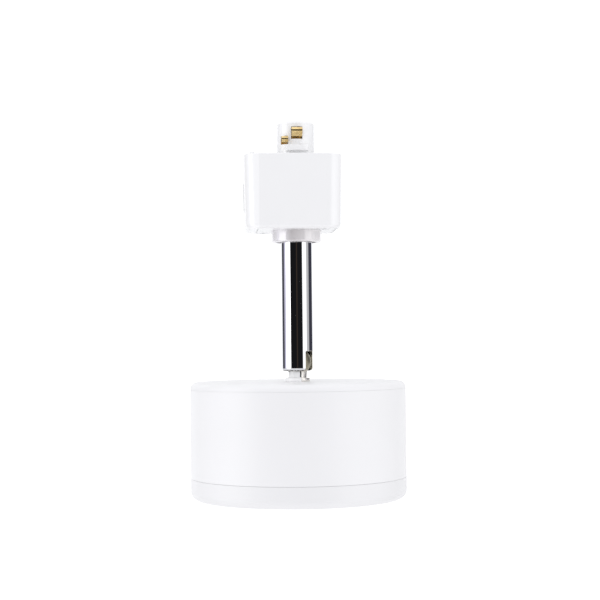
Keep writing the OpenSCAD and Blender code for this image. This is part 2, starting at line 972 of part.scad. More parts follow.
module lamp_holder() {
    cavity_z = holder_front + key_plate_t;
    color("whitesmoke")
        stem_frame()
            difference() {
                translate([0, 0, holder_front]) ring(holder_dia, holder_bore, holder_h);
                key_path(key_slot_w, holder_front - cut, cavity_z + cut);
                key_path(keyhole_dia, cavity_z, cavity_z + key_depth);
                for (s = [0, 180])
                    rotate([0, 0, s + 90 - lamp_twist])
                        translate(polar(pin_pitch / 2, 0, holder_front - cut))
                            cylinder(
                                d = keyhole_dia + 6 * slack,
                                h = key_plate_t + 2 * cut,
                                $fn = 48
                            );
                // Room for the contacts and their tails, and the holes of the screws
                for (s = [0, 180])
                    rotate([0, 0, s])
                        translate([0, (pin_pitch - contact_w) / 2 - slack, cavity_z]) {
                            translate([contact_end - contact_t, 0, 0])
                                cube([2 * contact_t, contact_w + 2 * slack, holder_h]);
                            translate([-key_slot_w / 2 - 3 * slack, 0, pocket_lift])
                                cube([
                                    contact_end + pocket_over + key_slot_w / 2,
                                    contact_w + 2 * slack,
                                    key_depth - pocket_lift - sink
                                ]);
                        }
                for (s = [-1, 1])
                    translate([s * holder_screw_r, 0, holder_front - cut]) {
                        cylinder(d = holder_screw_dia + 4 * slack, h = holder_h + 2 * cut);
                        cylinder(d = holder_screw_head[0] + 6 * slack, h = holder_screw_sink + cut);
                    }
            }
}

// Sprung strips that press on the pins' heads
module holder_contacts() {
    strip_z = holder_front + key_plate_t + contact_lift;
    color("darkgoldenrod")
        stem_frame()
            for (s = [0, 180])
                rotate([0, 0, s])
                    translate([0, pin_pitch / 2, 0])
                        bent_strip(
                            [
                                [-key_slot_w / 2 - slack, strip_z],
                                [contact_end, strip_z],
                                [contact_end, holder_top + contact_tail]
                            ],
                            contact_t,
                            contact_w
                        );
}

module holder_screws() {
    color("silver")
        stem_frame()
            for (s = [-1, 1])
                translate([s * holder_screw_r, 0, holder_front + holder_screw_sink])
                    pan_screw(
                        holder_screw_dia,
                        holder_h - holder_screw_sink + bracket_t + cut,
                        holder_screw_head
                    );
}

module earth_tag() {
    tag_z = cap_under - earth_boss_h - tag_t;
    color("silver")
        stem_frame()
            difference() {
                union() {
                    translate([0, earth_y, tag_z]) cylinder(d = tag_dia, h = tag_t);
                    translate([-tag_tail.x, earth_y - tag_tail.y / 2, tag_z])
                        cube([tag_tail.x, tag_tail.y, tag_t]);
                }
                translate([0, earth_y, tag_z - cut])
                    cylinder(d = holder_screw_dia + 2 * slack, h = tag_t + 2 * cut);
            }
}

module earth_screw() {
    color("silver")
        stem_frame()
            translate([0, earth_y, cap_under - earth_boss_h - tag_t])
                pan_screw(holder_screw_dia, tag_t + earth_boss_h - 3 * slack, earth_screw_head);
}

// Wire through the stud, then out to its terminal. It arrives from below or from the side.
module head_wire(heading, end, approach) {
    top = polar(wire_ring, heading, ball_z + head_wire_top);
    mouth = polar(wire_ring, heading, stud_bottom - sink);
    straight = [for (i = [0:3]) top + (mouth - top) * i / 4];
    bend = bezier([mouth, mouth - [0, 0, 4], end + approach, end], wire_steps);
    color("whitesmoke")
        stem_frame()
            sweep(concat(straight, bend), wire_dia / 2, [1, 0, 0], wire_sides);
}

module live_wire_head() {
    end = [contact_end + wire_beside, pin_pitch / 2, holder_top + wire_over];
    head_wire(90, end, [0, -12, -1]);
}

module neutral_wire_head() {
    end = [-contact_end - wire_beside, -pin_pitch / 2, holder_top + wire_over];
    head_wire(330, end, [0, 12, -1]);
}

module earth_wire_head() {
    end = [-tag_tail.x + 1, earth_y, cap_under - earth_boss_h - tag_t - wire_gap];
    head_wire(210, end, [0, -8, -5]);
}

module trim_ring() {
    spigot_r = head_r - wall_t - run;
    color("white")
        stem_frame()
            difference() {
                rotate_extrude($fn = 128)
                    difference() {
                        union() {
                            band(head_r - ring_wall, head_r, head_bottom, shell_bottom - line_gap / 2);
                            band(ring_opening / 2, head_r, head_bottom, head_bottom + ring_face_t);
                            band(
                                spigot_r - spigot_t,
                                spigot_r,
                                head_bottom + ring_face_t / 2,
                                shell_bottom + ring_spigot_h
                            );
                        }
                        corner_waste(head_r, head_bottom, ring_edge_r, 1, -1);
                    }
                for (a = clip_angles)
                    rotate([0, 0, a])
                        translate([
                            spigot_r - spigot_t - cut,
                            -clip_window[0] / 2,
                            shell_bottom + clip_window_z
                        ])
                            cube([spigot_t + 2 * cut, clip_window[0], clip_window[1]]);
            }
}

// Leaf clips that grip the shell through windows in the ring's spigot. They are flat across,
// so their long edges come nearest to the round walls.
module trim_clips() {
    wall = head_r - wall_t;
    spigot_in = wall - run - spigot_t;
    seat = sqrt(spigot_in * spigot_in - clip_w * clip_w / 4) - clip_t / 2 - run;
    crest = sqrt(wall * wall - clip_w * clip_w / 4) - clip_t - run;
    reach = [seat, seat, crest, seat, seat];
    color("silver")
        stem_frame()
            for (a = clip_angles)
                rotate([0, 0, a])
                    bent_strip(
                        [for (i = [0:4]) [reach[i], shell_bottom + clip_bends[i]]],
                        clip_t,
                        clip_w
                    );
}

// ---------- Lamp ----------

module lamp_base() {
    r = lamp_dia / 2;
    color("white")
        stem_frame()
            difference() {
                rotate_extrude($fn = 128)
                    difference() {
                        union() {
                            band(0, r, lamp_rim_z, lamp_face);
                            band(0, lamp_boss_r, lamp_face - 1, lamp_face + boss_h);
                        }
                        band(0, lamp_boss_r - lamp_wall, lamp_rim_z - cut, lamp_face + boss_h - lamp_wall);
                        band(0, board_r + slack, lamp_rim_z + lamp_wall, lamp_face - lamp_wall);
                        band(0, diffuser_r + slack, lamp_rim_z - cut, lamp_face - lamp_wall);
                        corner_waste(r, lamp_rim_z, lamp_rim_r, 1, -1);
                        corner_waste(lamp_boss_r, lamp_face + boss_h, 1, 1, 1);
                    }
                for (s = [-1, 1])
                    translate([0, s * pin_pitch / 2, lamp_face - 2 * lamp_wall])
                        cylinder(d = pin_dia + run, h = 3 * lamp_wall, $fn = 48);
            }
}

module lamp_pins() {
    color("gold")
        stem_frame()
            for (s = [-1, 1])
                translate([0, s * pin_pitch / 2, lamp_face]) {
                    translate([0, 0, -lamp_wall - rivet[1] - run])
                        cylinder(d = pin_dia, h = lamp_wall + rivet[1] + run + pin_neck);
                    translate([0, 0, pin_neck]) cylinder(d = pin_head[0], h = pin_head[1]);
                    translate([0, 0, -lamp_wall - rivet[1] - run]) cylinder(d = rivet[0], h = rivet[1]);
                }
}

module driver_board() {
    color("darkgreen")
        stem_frame() translate([0, 0, driver_z]) cylinder(r = driver_r, h = driver_t);
}

// Capacitor, choke, fuse and rectifier that hang under the driver board
module driver_parts() {
    color("dimgray")
        stem_frame()
            translate([0, 0, driver_z]) {
                translate([6, 6, -11]) cylinder(d = 8, h = 11);
                translate([-7, 5, -9]) cylinder(d = 9, h = 9);
                translate([7, -7, -6]) cylinder(d = 3.6, h = 6);
                translate([-9, -9, -3.4]) cube([6, 5, 3.4]);
            }
}

module led_board() {
    color("whitesmoke")
        stem_frame()
            translate([0, 0, board_z]) cylinder(r = board_r, h = board_t, $fn = 96);
}

module led_chips() {
    color("khaki")
        stem_frame()
            for (row = [[outer_chips, 25], [inner_chips, 12]])
                for (i = [0:row[0] - 1])
                    rotate([0, 0, 360 * i / row[0]])
                        translate([row[1] - chip.x / 2, -chip.y / 2, board_z - chip.z])
                            cube(chip);
}

module lamp_diffuser() {
    flange_top = lamp_rim_z + lamp_wall + diffuser_flange_t;
    color("white")
        stem_frame()
            rotate_extrude($fn = 128)
                difference() {
                    union() {
                        band(0, diffuser_r, lamp_front, flange_top);
                        band(0, board_r, lamp_rim_z + lamp_wall, flange_top);
                    }
                    band(0, diffuser_r - diffuser_t, lamp_front + diffuser_t, flange_top + cut);
                    corner_waste(diffuser_r, lamp_front, diffuser_edge_r, 1, -1);
                }
}

adapter_housing();
adapter_cover();
cover_screws();
contact_tower();
tower_screws();
live_contact();
neutral_contact();
earth_contact();
live_wire_adapter();
neutral_wire_adapter();
earth_wire_adapter();
swivel_collar();
swivel_bush();
release_latch();
latch_spring();
stem_tube();
swivel_nipple();
thrust_washer();
wave_washer();
stop_washer();
nipple_nut();
ball_spring();
ball_cup();
stem_wires();
ball_stud();
top_cap();
head_shell();
cap_screws();
holder_bracket();
stud_washer();
stud_nut();
lamp_holder();
holder_contacts();
holder_screws();
earth_tag();
earth_screw();
live_wire_head();
neutral_wire_head();
earth_wire_head();
trim_ring();
trim_clips();
lamp_base();
lamp_pins();
driver_board();
driver_parts();
led_board();
led_chips();
lamp_diffuser();
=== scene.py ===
"""Looks of the track spotlight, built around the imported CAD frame.

Lengths in this script are millimetres, turned into metres by MM where a mesh is made.
The frame's boxes and joints give the places and the main sizes. Sizes that a box doesn't show,
such as bores, walls and corner radii, are named below and follow the CAD.
"""
import json
from math import atan2, copysign, cos, degrees, pi, radians, sin, sqrt, tan

import bmesh
import bpy
from mathutils import Matrix, Vector


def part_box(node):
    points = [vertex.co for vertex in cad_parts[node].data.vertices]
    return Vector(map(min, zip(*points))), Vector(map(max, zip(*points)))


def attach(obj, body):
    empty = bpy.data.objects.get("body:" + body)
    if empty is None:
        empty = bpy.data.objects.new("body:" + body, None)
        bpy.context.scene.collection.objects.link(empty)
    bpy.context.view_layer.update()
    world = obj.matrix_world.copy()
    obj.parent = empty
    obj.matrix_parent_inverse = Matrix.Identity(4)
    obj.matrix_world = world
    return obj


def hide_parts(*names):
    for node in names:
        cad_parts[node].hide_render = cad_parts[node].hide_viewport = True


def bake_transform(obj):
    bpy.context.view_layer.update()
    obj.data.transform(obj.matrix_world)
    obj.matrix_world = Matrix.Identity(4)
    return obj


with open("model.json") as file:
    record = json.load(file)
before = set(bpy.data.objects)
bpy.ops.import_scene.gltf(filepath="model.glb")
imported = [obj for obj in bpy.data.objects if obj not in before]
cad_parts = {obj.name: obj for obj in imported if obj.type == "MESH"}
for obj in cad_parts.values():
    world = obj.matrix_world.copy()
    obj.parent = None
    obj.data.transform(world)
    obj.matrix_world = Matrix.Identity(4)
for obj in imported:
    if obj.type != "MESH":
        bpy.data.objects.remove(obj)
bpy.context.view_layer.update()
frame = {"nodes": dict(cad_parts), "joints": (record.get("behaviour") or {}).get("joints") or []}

MM = 0.001
SHARP_ANGLE = 32
CORNER_STEPS = 10


# -------- sizes from the frame

def span(node):
    """Lowest and highest corner of a CAD node in millimetres."""
    low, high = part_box(node)
    return low / MM, high / MM


joints = {joint["name"]: joint for joint in frame["joints"]}
tilt_axis = joints["tilt"]["axis"]
# Heading of the tilt slot. The stem and the head are drawn with the slot at -Y, then turned.
HEADING = degrees(atan2(-tilt_axis[1], -tilt_axis[0]))
BALL_Z = joints["tilt"]["pos_m"][2] / MM

housing_low, housing_high = span("adapter_housing")
cover_low, cover_high = span("adapter_cover")
collar_low, collar_high = span("swivel_collar")
tube_low, tube_high = span("stem_tube")
stud_low = span("ball_stud")[0]
cap_high = span("top_cap")[1]
shell_low, shell_high = span("head_shell")
ring_low, ring_high = span("trim_ring")
base_low, base_high = span("lamp_base")
diffuser_low, diffuser_high = span("lamp_diffuser")
tower_low, tower_high = span("contact_tower")
latch_low, latch_high = span("release_latch")
spring_low, spring_high = span("latch_spring")

ADAPTER_W = housing_high.x - housing_low.x
ADAPTER_D = housing_high.y - housing_low.y
ADAPTER_BOTTOM = housing_low.z
BOX_X = (housing_low.x + housing_high.x) / 2
COVER_X = BOX_X - (cover_low.x + cover_high.x) / 2
COLLAR_R = (collar_high.x - collar_low.x) / 2
TUBE_R = (tube_high.x - tube_low.x) / 2
HEAD_R = (shell_high.x - shell_low.x) / 2


# -------- mesh tools

def new_piece(name, verts, faces):
    """Object made from points in millimetres."""
    mesh = bpy.data.meshes.new(name)
    mesh.from_pydata([tuple(c * MM for c in v) for v in verts], [], faces)
    piece = bpy.data.objects.new(name, mesh)
    bpy.context.scene.collection.objects.link(piece)
    weld(piece)
    return piece


def weld(piece):
    """Merges doubled points and turns every face outwards."""
    work = bmesh.new()
    work.from_mesh(piece.data)
    bmesh.ops.remove_doubles(work, verts=work.verts, dist=1e-7)
    bmesh.ops.recalc_face_normals(work, faces=work.faces)
    work.to_mesh(piece.data)
    work.free()


def bake(piece):
    """Applies the piece's modifiers to its mesh."""
    bpy.context.view_layer.update()
    shape = piece.evaluated_get(bpy.context.evaluated_depsgraph_get())
    mesh = bpy.data.meshes.new_from_object(shape)
    piece.modifiers.clear()
    old = piece.data
    piece.data = mesh
    bpy.data.meshes.remove(old)


def combine(piece, tool, operation):
    """Joins the tool to the piece, or cuts it away. The tool is used up."""
    boolean = piece.modifiers.new("cut", "BOOLEAN")
    boolean.operation = operation
    boolean.solver = "EXACT"
    boolean.object = tool
    bake(piece)
    bpy.data.objects.remove(tool)


def cut(piece, tool):
    combine(piece, tool, "DIFFERENCE")


def join(piece, tool):
    combine(piece, tool, "UNION")


def merge(piece, other):
    """Adds another object's mesh to the piece as a separate shell."""
    work = bmesh.new()
    work.from_mesh(piece.data)
    work.from_mesh(other.data)
    work.to_mesh(piece.data)
    work.free()
    bpy.data.objects.remove(other)


def soften(piece, width, segments=2, angle=38):
    """Rounds the sharp edges by a small bevel."""
    bevel = piece.modifiers.new("edge", "BEVEL")
    bevel.width = width * MM
    bevel.segments = segments
    bevel.limit_method = "ANGLE"
    bevel.angle_limit = radians(angle)
    bake(piece)
    weld(piece)


def shade(piece):
    """Smooth shading that keeps the flats flat."""
    for face in piece.data.polygons:
        face.use_smooth = True
    piece.data.set_sharp_from_angle(angle=radians(SHARP_ANGLE))
    weighted = piece.modifiers.new("normals", "WEIGHTED_NORMAL")
    weighted.keep_sharp = True
    weighted.weight = 80


def turn(piece, angle):
    """Turns the mesh about the upright axis."""
    piece.data.transform(Matrix.Rotation(radians(angle), 4, "Z"))


def move(piece, x, y, z=0.0):
    """Moves the mesh by millimetres."""
    piece.data.transform(Matrix.Translation((x * MM, y * MM, z * MM)))


def turn_to_box(piece):
    """Turns a piece that was drawn round the adapter's middle, latch on the right, to its place."""
    half_turn = Matrix.Rotation(pi, 4, "Z")
    piece.data.transform(Matrix.Translation((BOX_X * MM, 0, 0)) @ half_turn)


def place(piece, body, slot, material, node):
    """Finishes a piece: its material, the body it rides on and the CAD node it stands for."""
    shade(piece)
    piece.data.materials.clear()
    piece.data.materials.append(material)
    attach(piece, body)
    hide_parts(node)


# -------- outlines and solids

def arc(centre, radius, start, end, steps):
    """Points of an arc between two angles in degrees."""
    points = []
    for i in range(steps + 1):
        a = radians(start + (end - start) * i / steps)
        points.append((centre[0] + radius * cos(a), centre[1] + radius * sin(a)))
    return points


def rounded(corners, steps=5):
    """Closed outline from (x, y, radius) corners, each rounded by an arc of its radius."""
    points = []
    for i, (x, y, radius) in enumerate(corners):
        here = Vector((x, y))
        if radius <= 0:
            points.append((x, y))
            continue
        back = (Vector(corners[i - 1][:2]) - here).normalized()
        ahead = (Vector(corners[(i + 1) % len(corners)][:2]) - here).normalized()
        half = back.angle(ahead) / 2
        centre = here + (back + ahead).normalized() * (radius / sin(half))
        first = here + back * (radius / tan(half)) - centre
        last = here + ahead * (radius / tan(half)) - centre
        start = degrees(atan2(first.y, first.x))
        sweep = degrees(atan2(first.x * last.y - first.y * last.x, first.dot(last)))
        points += arc(centre, radius, start, start + sweep, steps)
    return points


def lathe(name, outline, sides=160):
    """Solid of a closed (radius, z) outline turned about the upright axis."""
    verts, faces = [], []
    count = len(outline)
    for s in range(sides):
        a = 2 * pi * s / sides
        verts += [(r * cos(a), r * sin(a), z) for r, z in outline]
    for s in range(sides):
        for i in range(count):
            here, ahead = s * count, (s + 1) % sides * count
            j = (i + 1) % count
            faces.append((here + i, ahead + i, ahead + j, here + j))
    return new_piece(name, verts, faces)


def rounded_rectangle(half_x, half_y, radius, middle=0.0):
    """Closed loop round a rectangle with round corners, centred on X = middle."""
    points = []
    for sx, sy, start in ((1, 1, 0), (-1, 1, 90), (-1, -1, 180), (1, -1, 270)):
        centre = (middle + sx * (half_x - radius), sy * (half_y - radius))
        points += arc(centre, radius, start, start + 90, CORNER_STEPS)
    return points


def circle_loop(radius, centre=(0, 0)):
    """Circle with as many points as rounded_rectangle, in the same order."""
    points = []
    for start in (0, 90, 180, 270):
        points += arc(centre, radius, start, start + 90, CORNER_STEPS)
    return points


def loft(name, loops, closed=False):
    """Skin over (points, z) loops with equal counts. A closed one joins its last to its first."""
    verts, faces = [], []
    count = len(loops[0][0])
    for points, z in loops:
        verts += [(x, y, z) for x, y in points]
    rows = len(loops)
    for row in range(rows if closed else rows - 1):
        for i in range(count):
            j = (i + 1) % count
            low, high = row * count, (row + 1) % rows * count
            faces.append((low + i, low + j, high + j, high + i))
    if not closed:
        faces.append(tuple(range(count)))
        faces.append(tuple((rows - 1) * count + i for i in reversed(range(count))))
    return new_piece(name, verts, faces)


def block(name, low, high):
    """Box between two corners, used as a cutter or as the blank of a piece."""
    points = [(low[0], low[1]), (high[0], low[1]), (high[0], high[1]), (low[0], high[1])]
    return loft(name, [(points, low[2]), (points, high[2])])


def rod(name, radius, low, high, centre=(0, 0), sides=48):
    """Upright round bar between two heights.

    It starts half a step round, so that its corners don't lie on a lathed piece's edges.
    """
    points = []
    for i in range(sides):
        a = 2 * pi * (i + 0.5) / sides
        points.append((centre[0] + radius * cos(a), centre[1] + radius * sin(a)))
    return loft(name, [(points, low), (points, high)])


def bent_strip(name, path, thickness, half_width):
    """Flat strip bent along (along, up, bend radius) points in the YZ plane, centred on X = 0."""
    centre_line = rounded_path(path, 5)
    verts, faces = [], []
    last = len(centre_line) - 1
    for i, point in enumerate(centre_line):
        before = centre_line[max(i - 1, 0)]
        after = centre_line[min(i + 1, last)]
        along = (after - before).normalized()
        normal = Vector((-along.y, along.x)) * thickness / 2
        for x, side in ((-half_width, 1), (half_width, 1), (half_width, -1), (-half_width, -1)):
            verts.append((x, point.x + side * normal.x, point.y + side * normal.y))
    for i in range(last):
        for k in range(4):
            a, b = 4 * i + k, 4 * i + (k + 1) % 4
            faces.append((a, b, b + 4, a + 4))
    faces.append((3, 2, 1, 0))
    faces.append(tuple(4 * last + k for k in range(4)))
    return new_piece(name, verts, faces)


def rounded_path(path, steps):
    """Open line through (x, y, radius) points with its bends rounded."""
    points = [Vector(path[0][:2])]
    for i in range(1, len(path) - 1):
        corner = [(*path[i - 1][:2], 0), path[i], (*path[i + 1][:2], 0)]
        points += [Vector(p) for p in rounded(corner, steps)[1:-1]]
    points.append(Vector(path[-1][:2]))
    return points


def coil(name, radius, wire, turns, low, high, centre):
    """Compression spring of round wire with its end turns closed."""
    verts, faces = [], []
    steps, sides = 40 * turns, 12
    closed_share = 0.75 / turns
    rise = high - low - wire
    centres = []
    for i in range(steps + 1):
        t = i / steps
        eased = min(max((t - closed_share) / (1 - 2 * closed_share), 0), 1)
        climb = 0.14 * min(t, closed_share) / closed_share * 0.5
        climb += 0.86 * eased + 0.07 * max(t - 1 + closed_share, 0) / closed_share
        a = 2 * pi * turns * t
        centres.append(Vector((
            centre[0] + radius * cos(a),
            centre[1] + radius * sin(a),
            low + wire / 2 + rise * min(climb, 1),
        )))
    for i, point in enumerate(centres):
        along = (centres[min(i + 1, steps)] - centres[max(i - 1, 0)]).normalized()
        side = along.cross(Vector((0, 0, 1))).normalized()
        up = side.cross(along)
        for k in range(sides):
            a = 2 * pi * k / sides
            verts.append(tuple(point + (side * cos(a) + up * sin(a)) * wire / 2))
    for i in range(steps):
        for k in range(sides):
            a, b = i * sides + k, i * sides + (k + 1) % sides
            faces.append((a, b, b + sides, a + sides))
    faces.append(tuple(reversed(range(sides))))
    faces.append(tuple(steps * sides + k for k in range(sides)))
    return new_piece(name, verts, faces)


# -------- materials

class Tree:
    """Small builder for the nodes of a material or of the world."""

    def __init__(self, owner):
        owner.use_nodes = True
        self.nodes = owner.node_tree.nodes
        self.links = owner.node_tree.links

    def feed(self, slot, value):
        """Links an output to an input, or sets the input to a value."""
        if isinstance(value, bpy.types.NodeSocket):
            self.links.new(value, slot)
        else:
            slot.default_value = (*value, 1) if slot.type == "RGBA" else value

    def fill(self, node, values):
        """Feeds the node's inputs by name, with _ for a space."""
        for key, value in values.items():
            self.feed(node.inputs[key.replace("_", " ")], value)

    def add(self, kind, **values):
        node = self.nodes.new("ShaderNode" + kind)
        self.fill(node, values)
        return node

    def math(self, operation, *values):
        node = self.add("Math")
        node.operation = operation
        for slot, value in zip(node.inputs, values):
            self.feed(slot, value)
        return node.outputs["Value"]

    def vector(self, operation, *values):
        node = self.add("VectorMath")
        node.operation = operation
        for slot, value in zip(node.inputs, values):
            self.feed(slot, value)
        return node.outputs["Value" if operation == "LENGTH" else "Vector"]

    def remap(self, value, low, high, to_low, to_high):
        node = self.add("MapRange", Value=value, From_Min=low, From_Max=high)
        self.fill(node, {"To_Min": to_low, "To_Max": to_high})
        return node.outputs["Result"]

    def rise(self, value, start, end):
        """Goes from 0 to 1 between two places in millimetres."""
        return self.remap(value, start * MM, end * MM, 0, 1)

    def mix(self, factor, first, second):
        node = self.add("Mix")
        node.data_type = "RGBA"
        self.fill(node, {"Factor": factor, "A": first, "B": second})
        return node.outputs["Result"]

    def ramp(self, value, stops):
        """Colour ramp from (position, level or colour) stops."""
        node = self.add("ValToRGB", Fac=value)
        elements = node.color_ramp.elements
        while len(elements) < len(stops):
            elements.new(0.5)
        for element, (position, tone) in zip(elements, stops):
            element.position = position
            element.color = (*tone, 1) if isinstance(tone, tuple) else (tone, tone, tone, 1)
        return node.outputs["Color"]

    def split(self, vector):
        """The X, Y and Z of a vector."""
        return self.add("SeparateXYZ", Vector=vector).outputs


class Shader(Tree):
    """Node material on one principled surface."""

    def __init__(self, name, **values):
        self.material = bpy.data.materials.new(name)
        super().__init__(self.material)
        self.surface = self.nodes["Principled BSDF"]
        self.fill(self.surface, values)
        self.place = self.add("TexCoord").outputs["Object"]

    def noise(self, size, detail=3.0, stretch=(1, 1, 1), roughness=0.5):
        """Noise with features of about the given size in millimetres."""
        place = self.add("Mapping", Vector=self.place, Scale=stretch).outputs["Vector"]
        texture = self.add("TexNoise", Vector=place, Scale=1 / (size * MM), Detail=detail)
        self.fill(texture, {"Roughness": roughness})
        return texture.outputs["Fac"]

    def patches(self, size, detail, low, high):
        """Noise stretched to run from 0 to 1 between two of its levels."""
        return self.remap(self.noise(size, detail), low, high, 0, 1)

    def bump(self, height, distance, strength=1.0, under=None):
        """Raises the surface by height times distance in millimetres."""
        node = self.add("Bump", Height=height, Distance=distance * MM, Strength=strength)
        if under:
            self.fill(node, {"Normal": under})
        return node.outputs["Normal"]

    def radius(self):
        """Distance from the upright axis in metres."""
        return self.vector("LENGTH", self.vector("MULTIPLY", self.place, (1, 1, 0)))

    def coordinate(self, axis):
        """Place along one axis in metres."""
        return self.split(self.place)[axis]

    def finish(self, colour, roughness=None, normal=None):
        """Gives the material with these outputs on its surface."""
        for key, value in (("Base Color", colour), ("Roughness", roughness), ("Normal", normal)):
            if value:
                self.fill(self.surface, {key: value})
        return self.material


def moulded_plastic(name, light, dark, roughness, grain, through=0.0, left_end=None):
    """Injection-moulded plastic: faint tone drift, a fine spark-eroded grain and slight sink waves.

    With left_end, the X of a box's left end, the corners at that end are lighter by painted light
    and the end itself is darker by painted shade than the rest.
    """
    look = Shader(
        name, Specular_IOR_Level=0.65, Subsurface_Weight=through,
        Subsurface_Radius=(1.2, 1.1, 1.0), Subsurface_Scale=0.9 * MM,
    )
    drift = look.patches(14, 2, 0.3, 0.7)
    tone = look.mix(drift, light, dark)
    if left_end is not None:
        across = look.coordinate("X")
        # Painted light on the corners at the left end, painted shade on the end itself.
        corner = look.rise(across, left_end + 6.1, left_end + 5.7)
        end = look.rise(across, left_end + 3.5, left_end + 1.9)
        tone = look.mix(corner, tone, tuple(1.054 * c for c in light))
        tone = look.mix(end, tone, tuple(0.955 * c for c in light))
    fine = look.noise(0.16, 3)
    rough = look.remap(fine, 0.3, 0.7, roughness * 0.85, roughness * 1.2)
    wave = look.bump(look.noise(7, 1), 0.010)
    return look.finish(tone, rough, look.bump(fine, grain, 1.0, wave))


def powder_coat(name, light, dark):
    """White powder coat: soft orange peel, a fine dry texture and a faint drift of tone."""
    look = Shader(name, Specular_IOR_Level=0.35, Coat_Weight=0.06, Coat_Roughness=0.25)
    drift = look.patches(22, 2, 0.3, 0.7)
    peel = look.bump(look.noise(1.3, 2, roughness=0.4), 0.016)
    dry = look.noise(0.22, 3)
    rough = look.remap(dry, 0.3, 0.7, 0.36, 0.5)
    return look.finish(look.mix(drift, light, dark), rough, look.bump(dry, 0.006, 1.0, peel))


def chrome():
    """Polished plate with faint drawn lines and tiny specks. Its sawn edges and bore are dull, and
    the bore's nearly black colour is painted shade.
    """
    look = Shader("polished_chrome", Metallic=1.0)
    drawn = look.noise(0.5, 3, stretch=(1, 1, 0.02))
    specks = look.patches(0.35, 4, 0.70, 0.76)
    tone = look.mix(specks, (0.90, 0.90, 0.915), (0.72, 0.72, 0.75))
    radius = look.radius()
    inside = look.rise(radius, TUBE_R - 0.15, TUBE_R - 0.3)
    # The bore's nearly black colour is painted shade.
    bore = look.rise(radius, TUBE_R - 0.65, TUBE_R - 0.75)
    streaks = look.patches(0.6, 3, 0.4, 0.6)
    sawn = look.mix(streaks, (0.62, 0.61, 0.60), (0.12, 0.12, 0.125))
    tone = look.mix(inside, tone, look.mix(bore, sawn, (0.05, 0.05, 0.055)))
    smudge = look.remap(look.noise(9, 4), 0.45, 0.7, 0.03, 0.06)
    speck_dirt = look.math("MULTIPLY", specks, 0.10)
    bore_dirt = look.math("MULTIPLY", inside, 0.32)
    rough = look.math("ADD", smudge, look.math("ADD", speck_dirt, bore_dirt))
    return look.finish(tone, rough, look.bump(drawn, 0.0012, 0.6))


def turned_metal(name, light, dark, roughness):
    """Turned and plated metal: fine rings round the axis and a patchy dull film."""
    look = Shader(name, Metallic=1.0)
    rings = look.noise(0.25, 2, stretch=(0.03, 0.03, 1))
    film = look.patches(2.5, 4, 0.35, 0.7)
    rough = look.remap(film, 0, 1, roughness * 0.75, roughness * 1.35)
    return look.finish(look.mix(film, light, dark), rough, look.bump(rings, 0.004, 0.8))


def sheet_metal(name, light, dark, roughness):
    """Stamped sheet: rolling lines along the strip and small stains."""
    look = Shader(name, Metallic=1.0)
    rolled = look.noise(0.3, 3, stretch=(1, 0.06, 1))
    stains = look.patches(3.5, 4, 0.4, 0.75)
    rough = look.remap(rolled, 0.3, 0.7, roughness * 0.8, roughness * 1.4)
    return look.finish(look.mix(stains, light, dark), rough, look.bump(rolled, 0.004, 0.7))


def collar_gloss_painted_light():
    """Glossy white over very slight ripples, lighter at both sides by painted light and darker
    between them by painted shade.
    """
    look = Shader("collar_gloss_white_painted_light", Metallic=0.06, Specular_IOR_Level=1.0)
    drift = look.patches(6, 2, 0.3, 0.7)
    across = look.coordinate("X")
    # Painted light makes both sides lighter. The darker plain tone between them is painted shade.
    painted_light_left = look.rise(across, -2.6, -5.5)
    painted_light_right = look.rise(across, -2.6, 8)
    plain = look.mix(drift, (0.635, 0.606, 0.612), (0.62, 0.592, 0.597))
    plain = look.mix(painted_light_right, plain, (0.93, 0.905, 0.91))
    tone = look.mix(painted_light_left, plain, (0.85, 0.83, 0.855))
    fine = look.noise(0.3, 3)
    rough = look.remap(fine, 0.3, 0.7, 0.07, 0.13)
    ripples = look.bump(look.noise(5, 1), 0.012)
    return look.finish(tone, rough, look.bump(fine, 0.0006, 1.0, ripples))


def ball_nickel():
    """Dull nickel. The ball is darkened by rubbing, and its top by painted shade. The neck and the
    flange are painted white as a reflection of the tent, and are polished metal to the right of the
    groove, whose dark colour is painted shade.
    """
    look = Shader("dull_nickel")
    height = look.coordinate("Z")
    worn = look.rise(height, BALL_Z - 4.4, BALL_Z - 3.2)
    # Painted shade darkens the top of the ball inside the tube.
    painted_shade_top = look.rise(height, BALL_Z + 2.4, BALL_Z + 4.0)
    # Left of X = 1 mm the neck and flange are painted white as a reflection of the tent. Right of
    # it they stay metal.
    right_of_painted_white = look.rise(look.coordinate("X"), 1.0, 1.4)
    # Dark colour inside 3.6 mm radius is painted shade in the groove, the thread roots and the
    # bore.
    groove = look.rise(look.radius(), 3.6, 3.45)
    film = look.patches(1.6, 4, 0.35, 0.7)
    bright = look.mix(film, (0.93, 0.90, 0.86), (0.90, 0.87, 0.82))
    bright = look.mix(right_of_painted_white, (1.0, 1.0, 1.0), bright)
    bright = look.mix(groove, bright, (0.05, 0.05, 0.05))
    dull = look.mix(film, (0.47, 0.435, 0.33), (0.34, 0.315, 0.225))
    dull = look.mix(painted_shade_top, dull, (0.045, 0.042, 0.038))
    metal = look.math("MAXIMUM", worn, look.math("MULTIPLY", right_of_painted_white, 0.8))
    look.fill(look.surface, {"Metallic": metal})
    smooth = look.remap(worn, 0, 1, 0.17, 0.40)
    rough = look.math("ADD", smooth, look.math("MULTIPLY", film, 0.08))
    rings = look.noise(0.22, 2, stretch=(0.03, 0.03, 1))
    return look.finish(look.mix(worn, bright, dull), rough, look.bump(rings, 0.003, 0.8))


def wire_sleeve(name, colour, second=None):
    """Silicone wire sleeve: matte and slightly dusty, with patches of a second colour if given."""
    look = Shader(name, Roughness=0.55, Sheen_Weight=0.1)
    dusty = look.patches(0.8, 3, 0.35, 0.7)
    base = look.mix(dusty, colour, tuple(min(1, c * 1.18 + 0.01) for c in colour))
    if second:
        stripe = look.patches(2.2, 0, 0.47, 0.5)
        base = look.mix(stripe, base, second)
    return look.finish(base, normal=look.bump(look.noise(0.25, 2), 0.006))


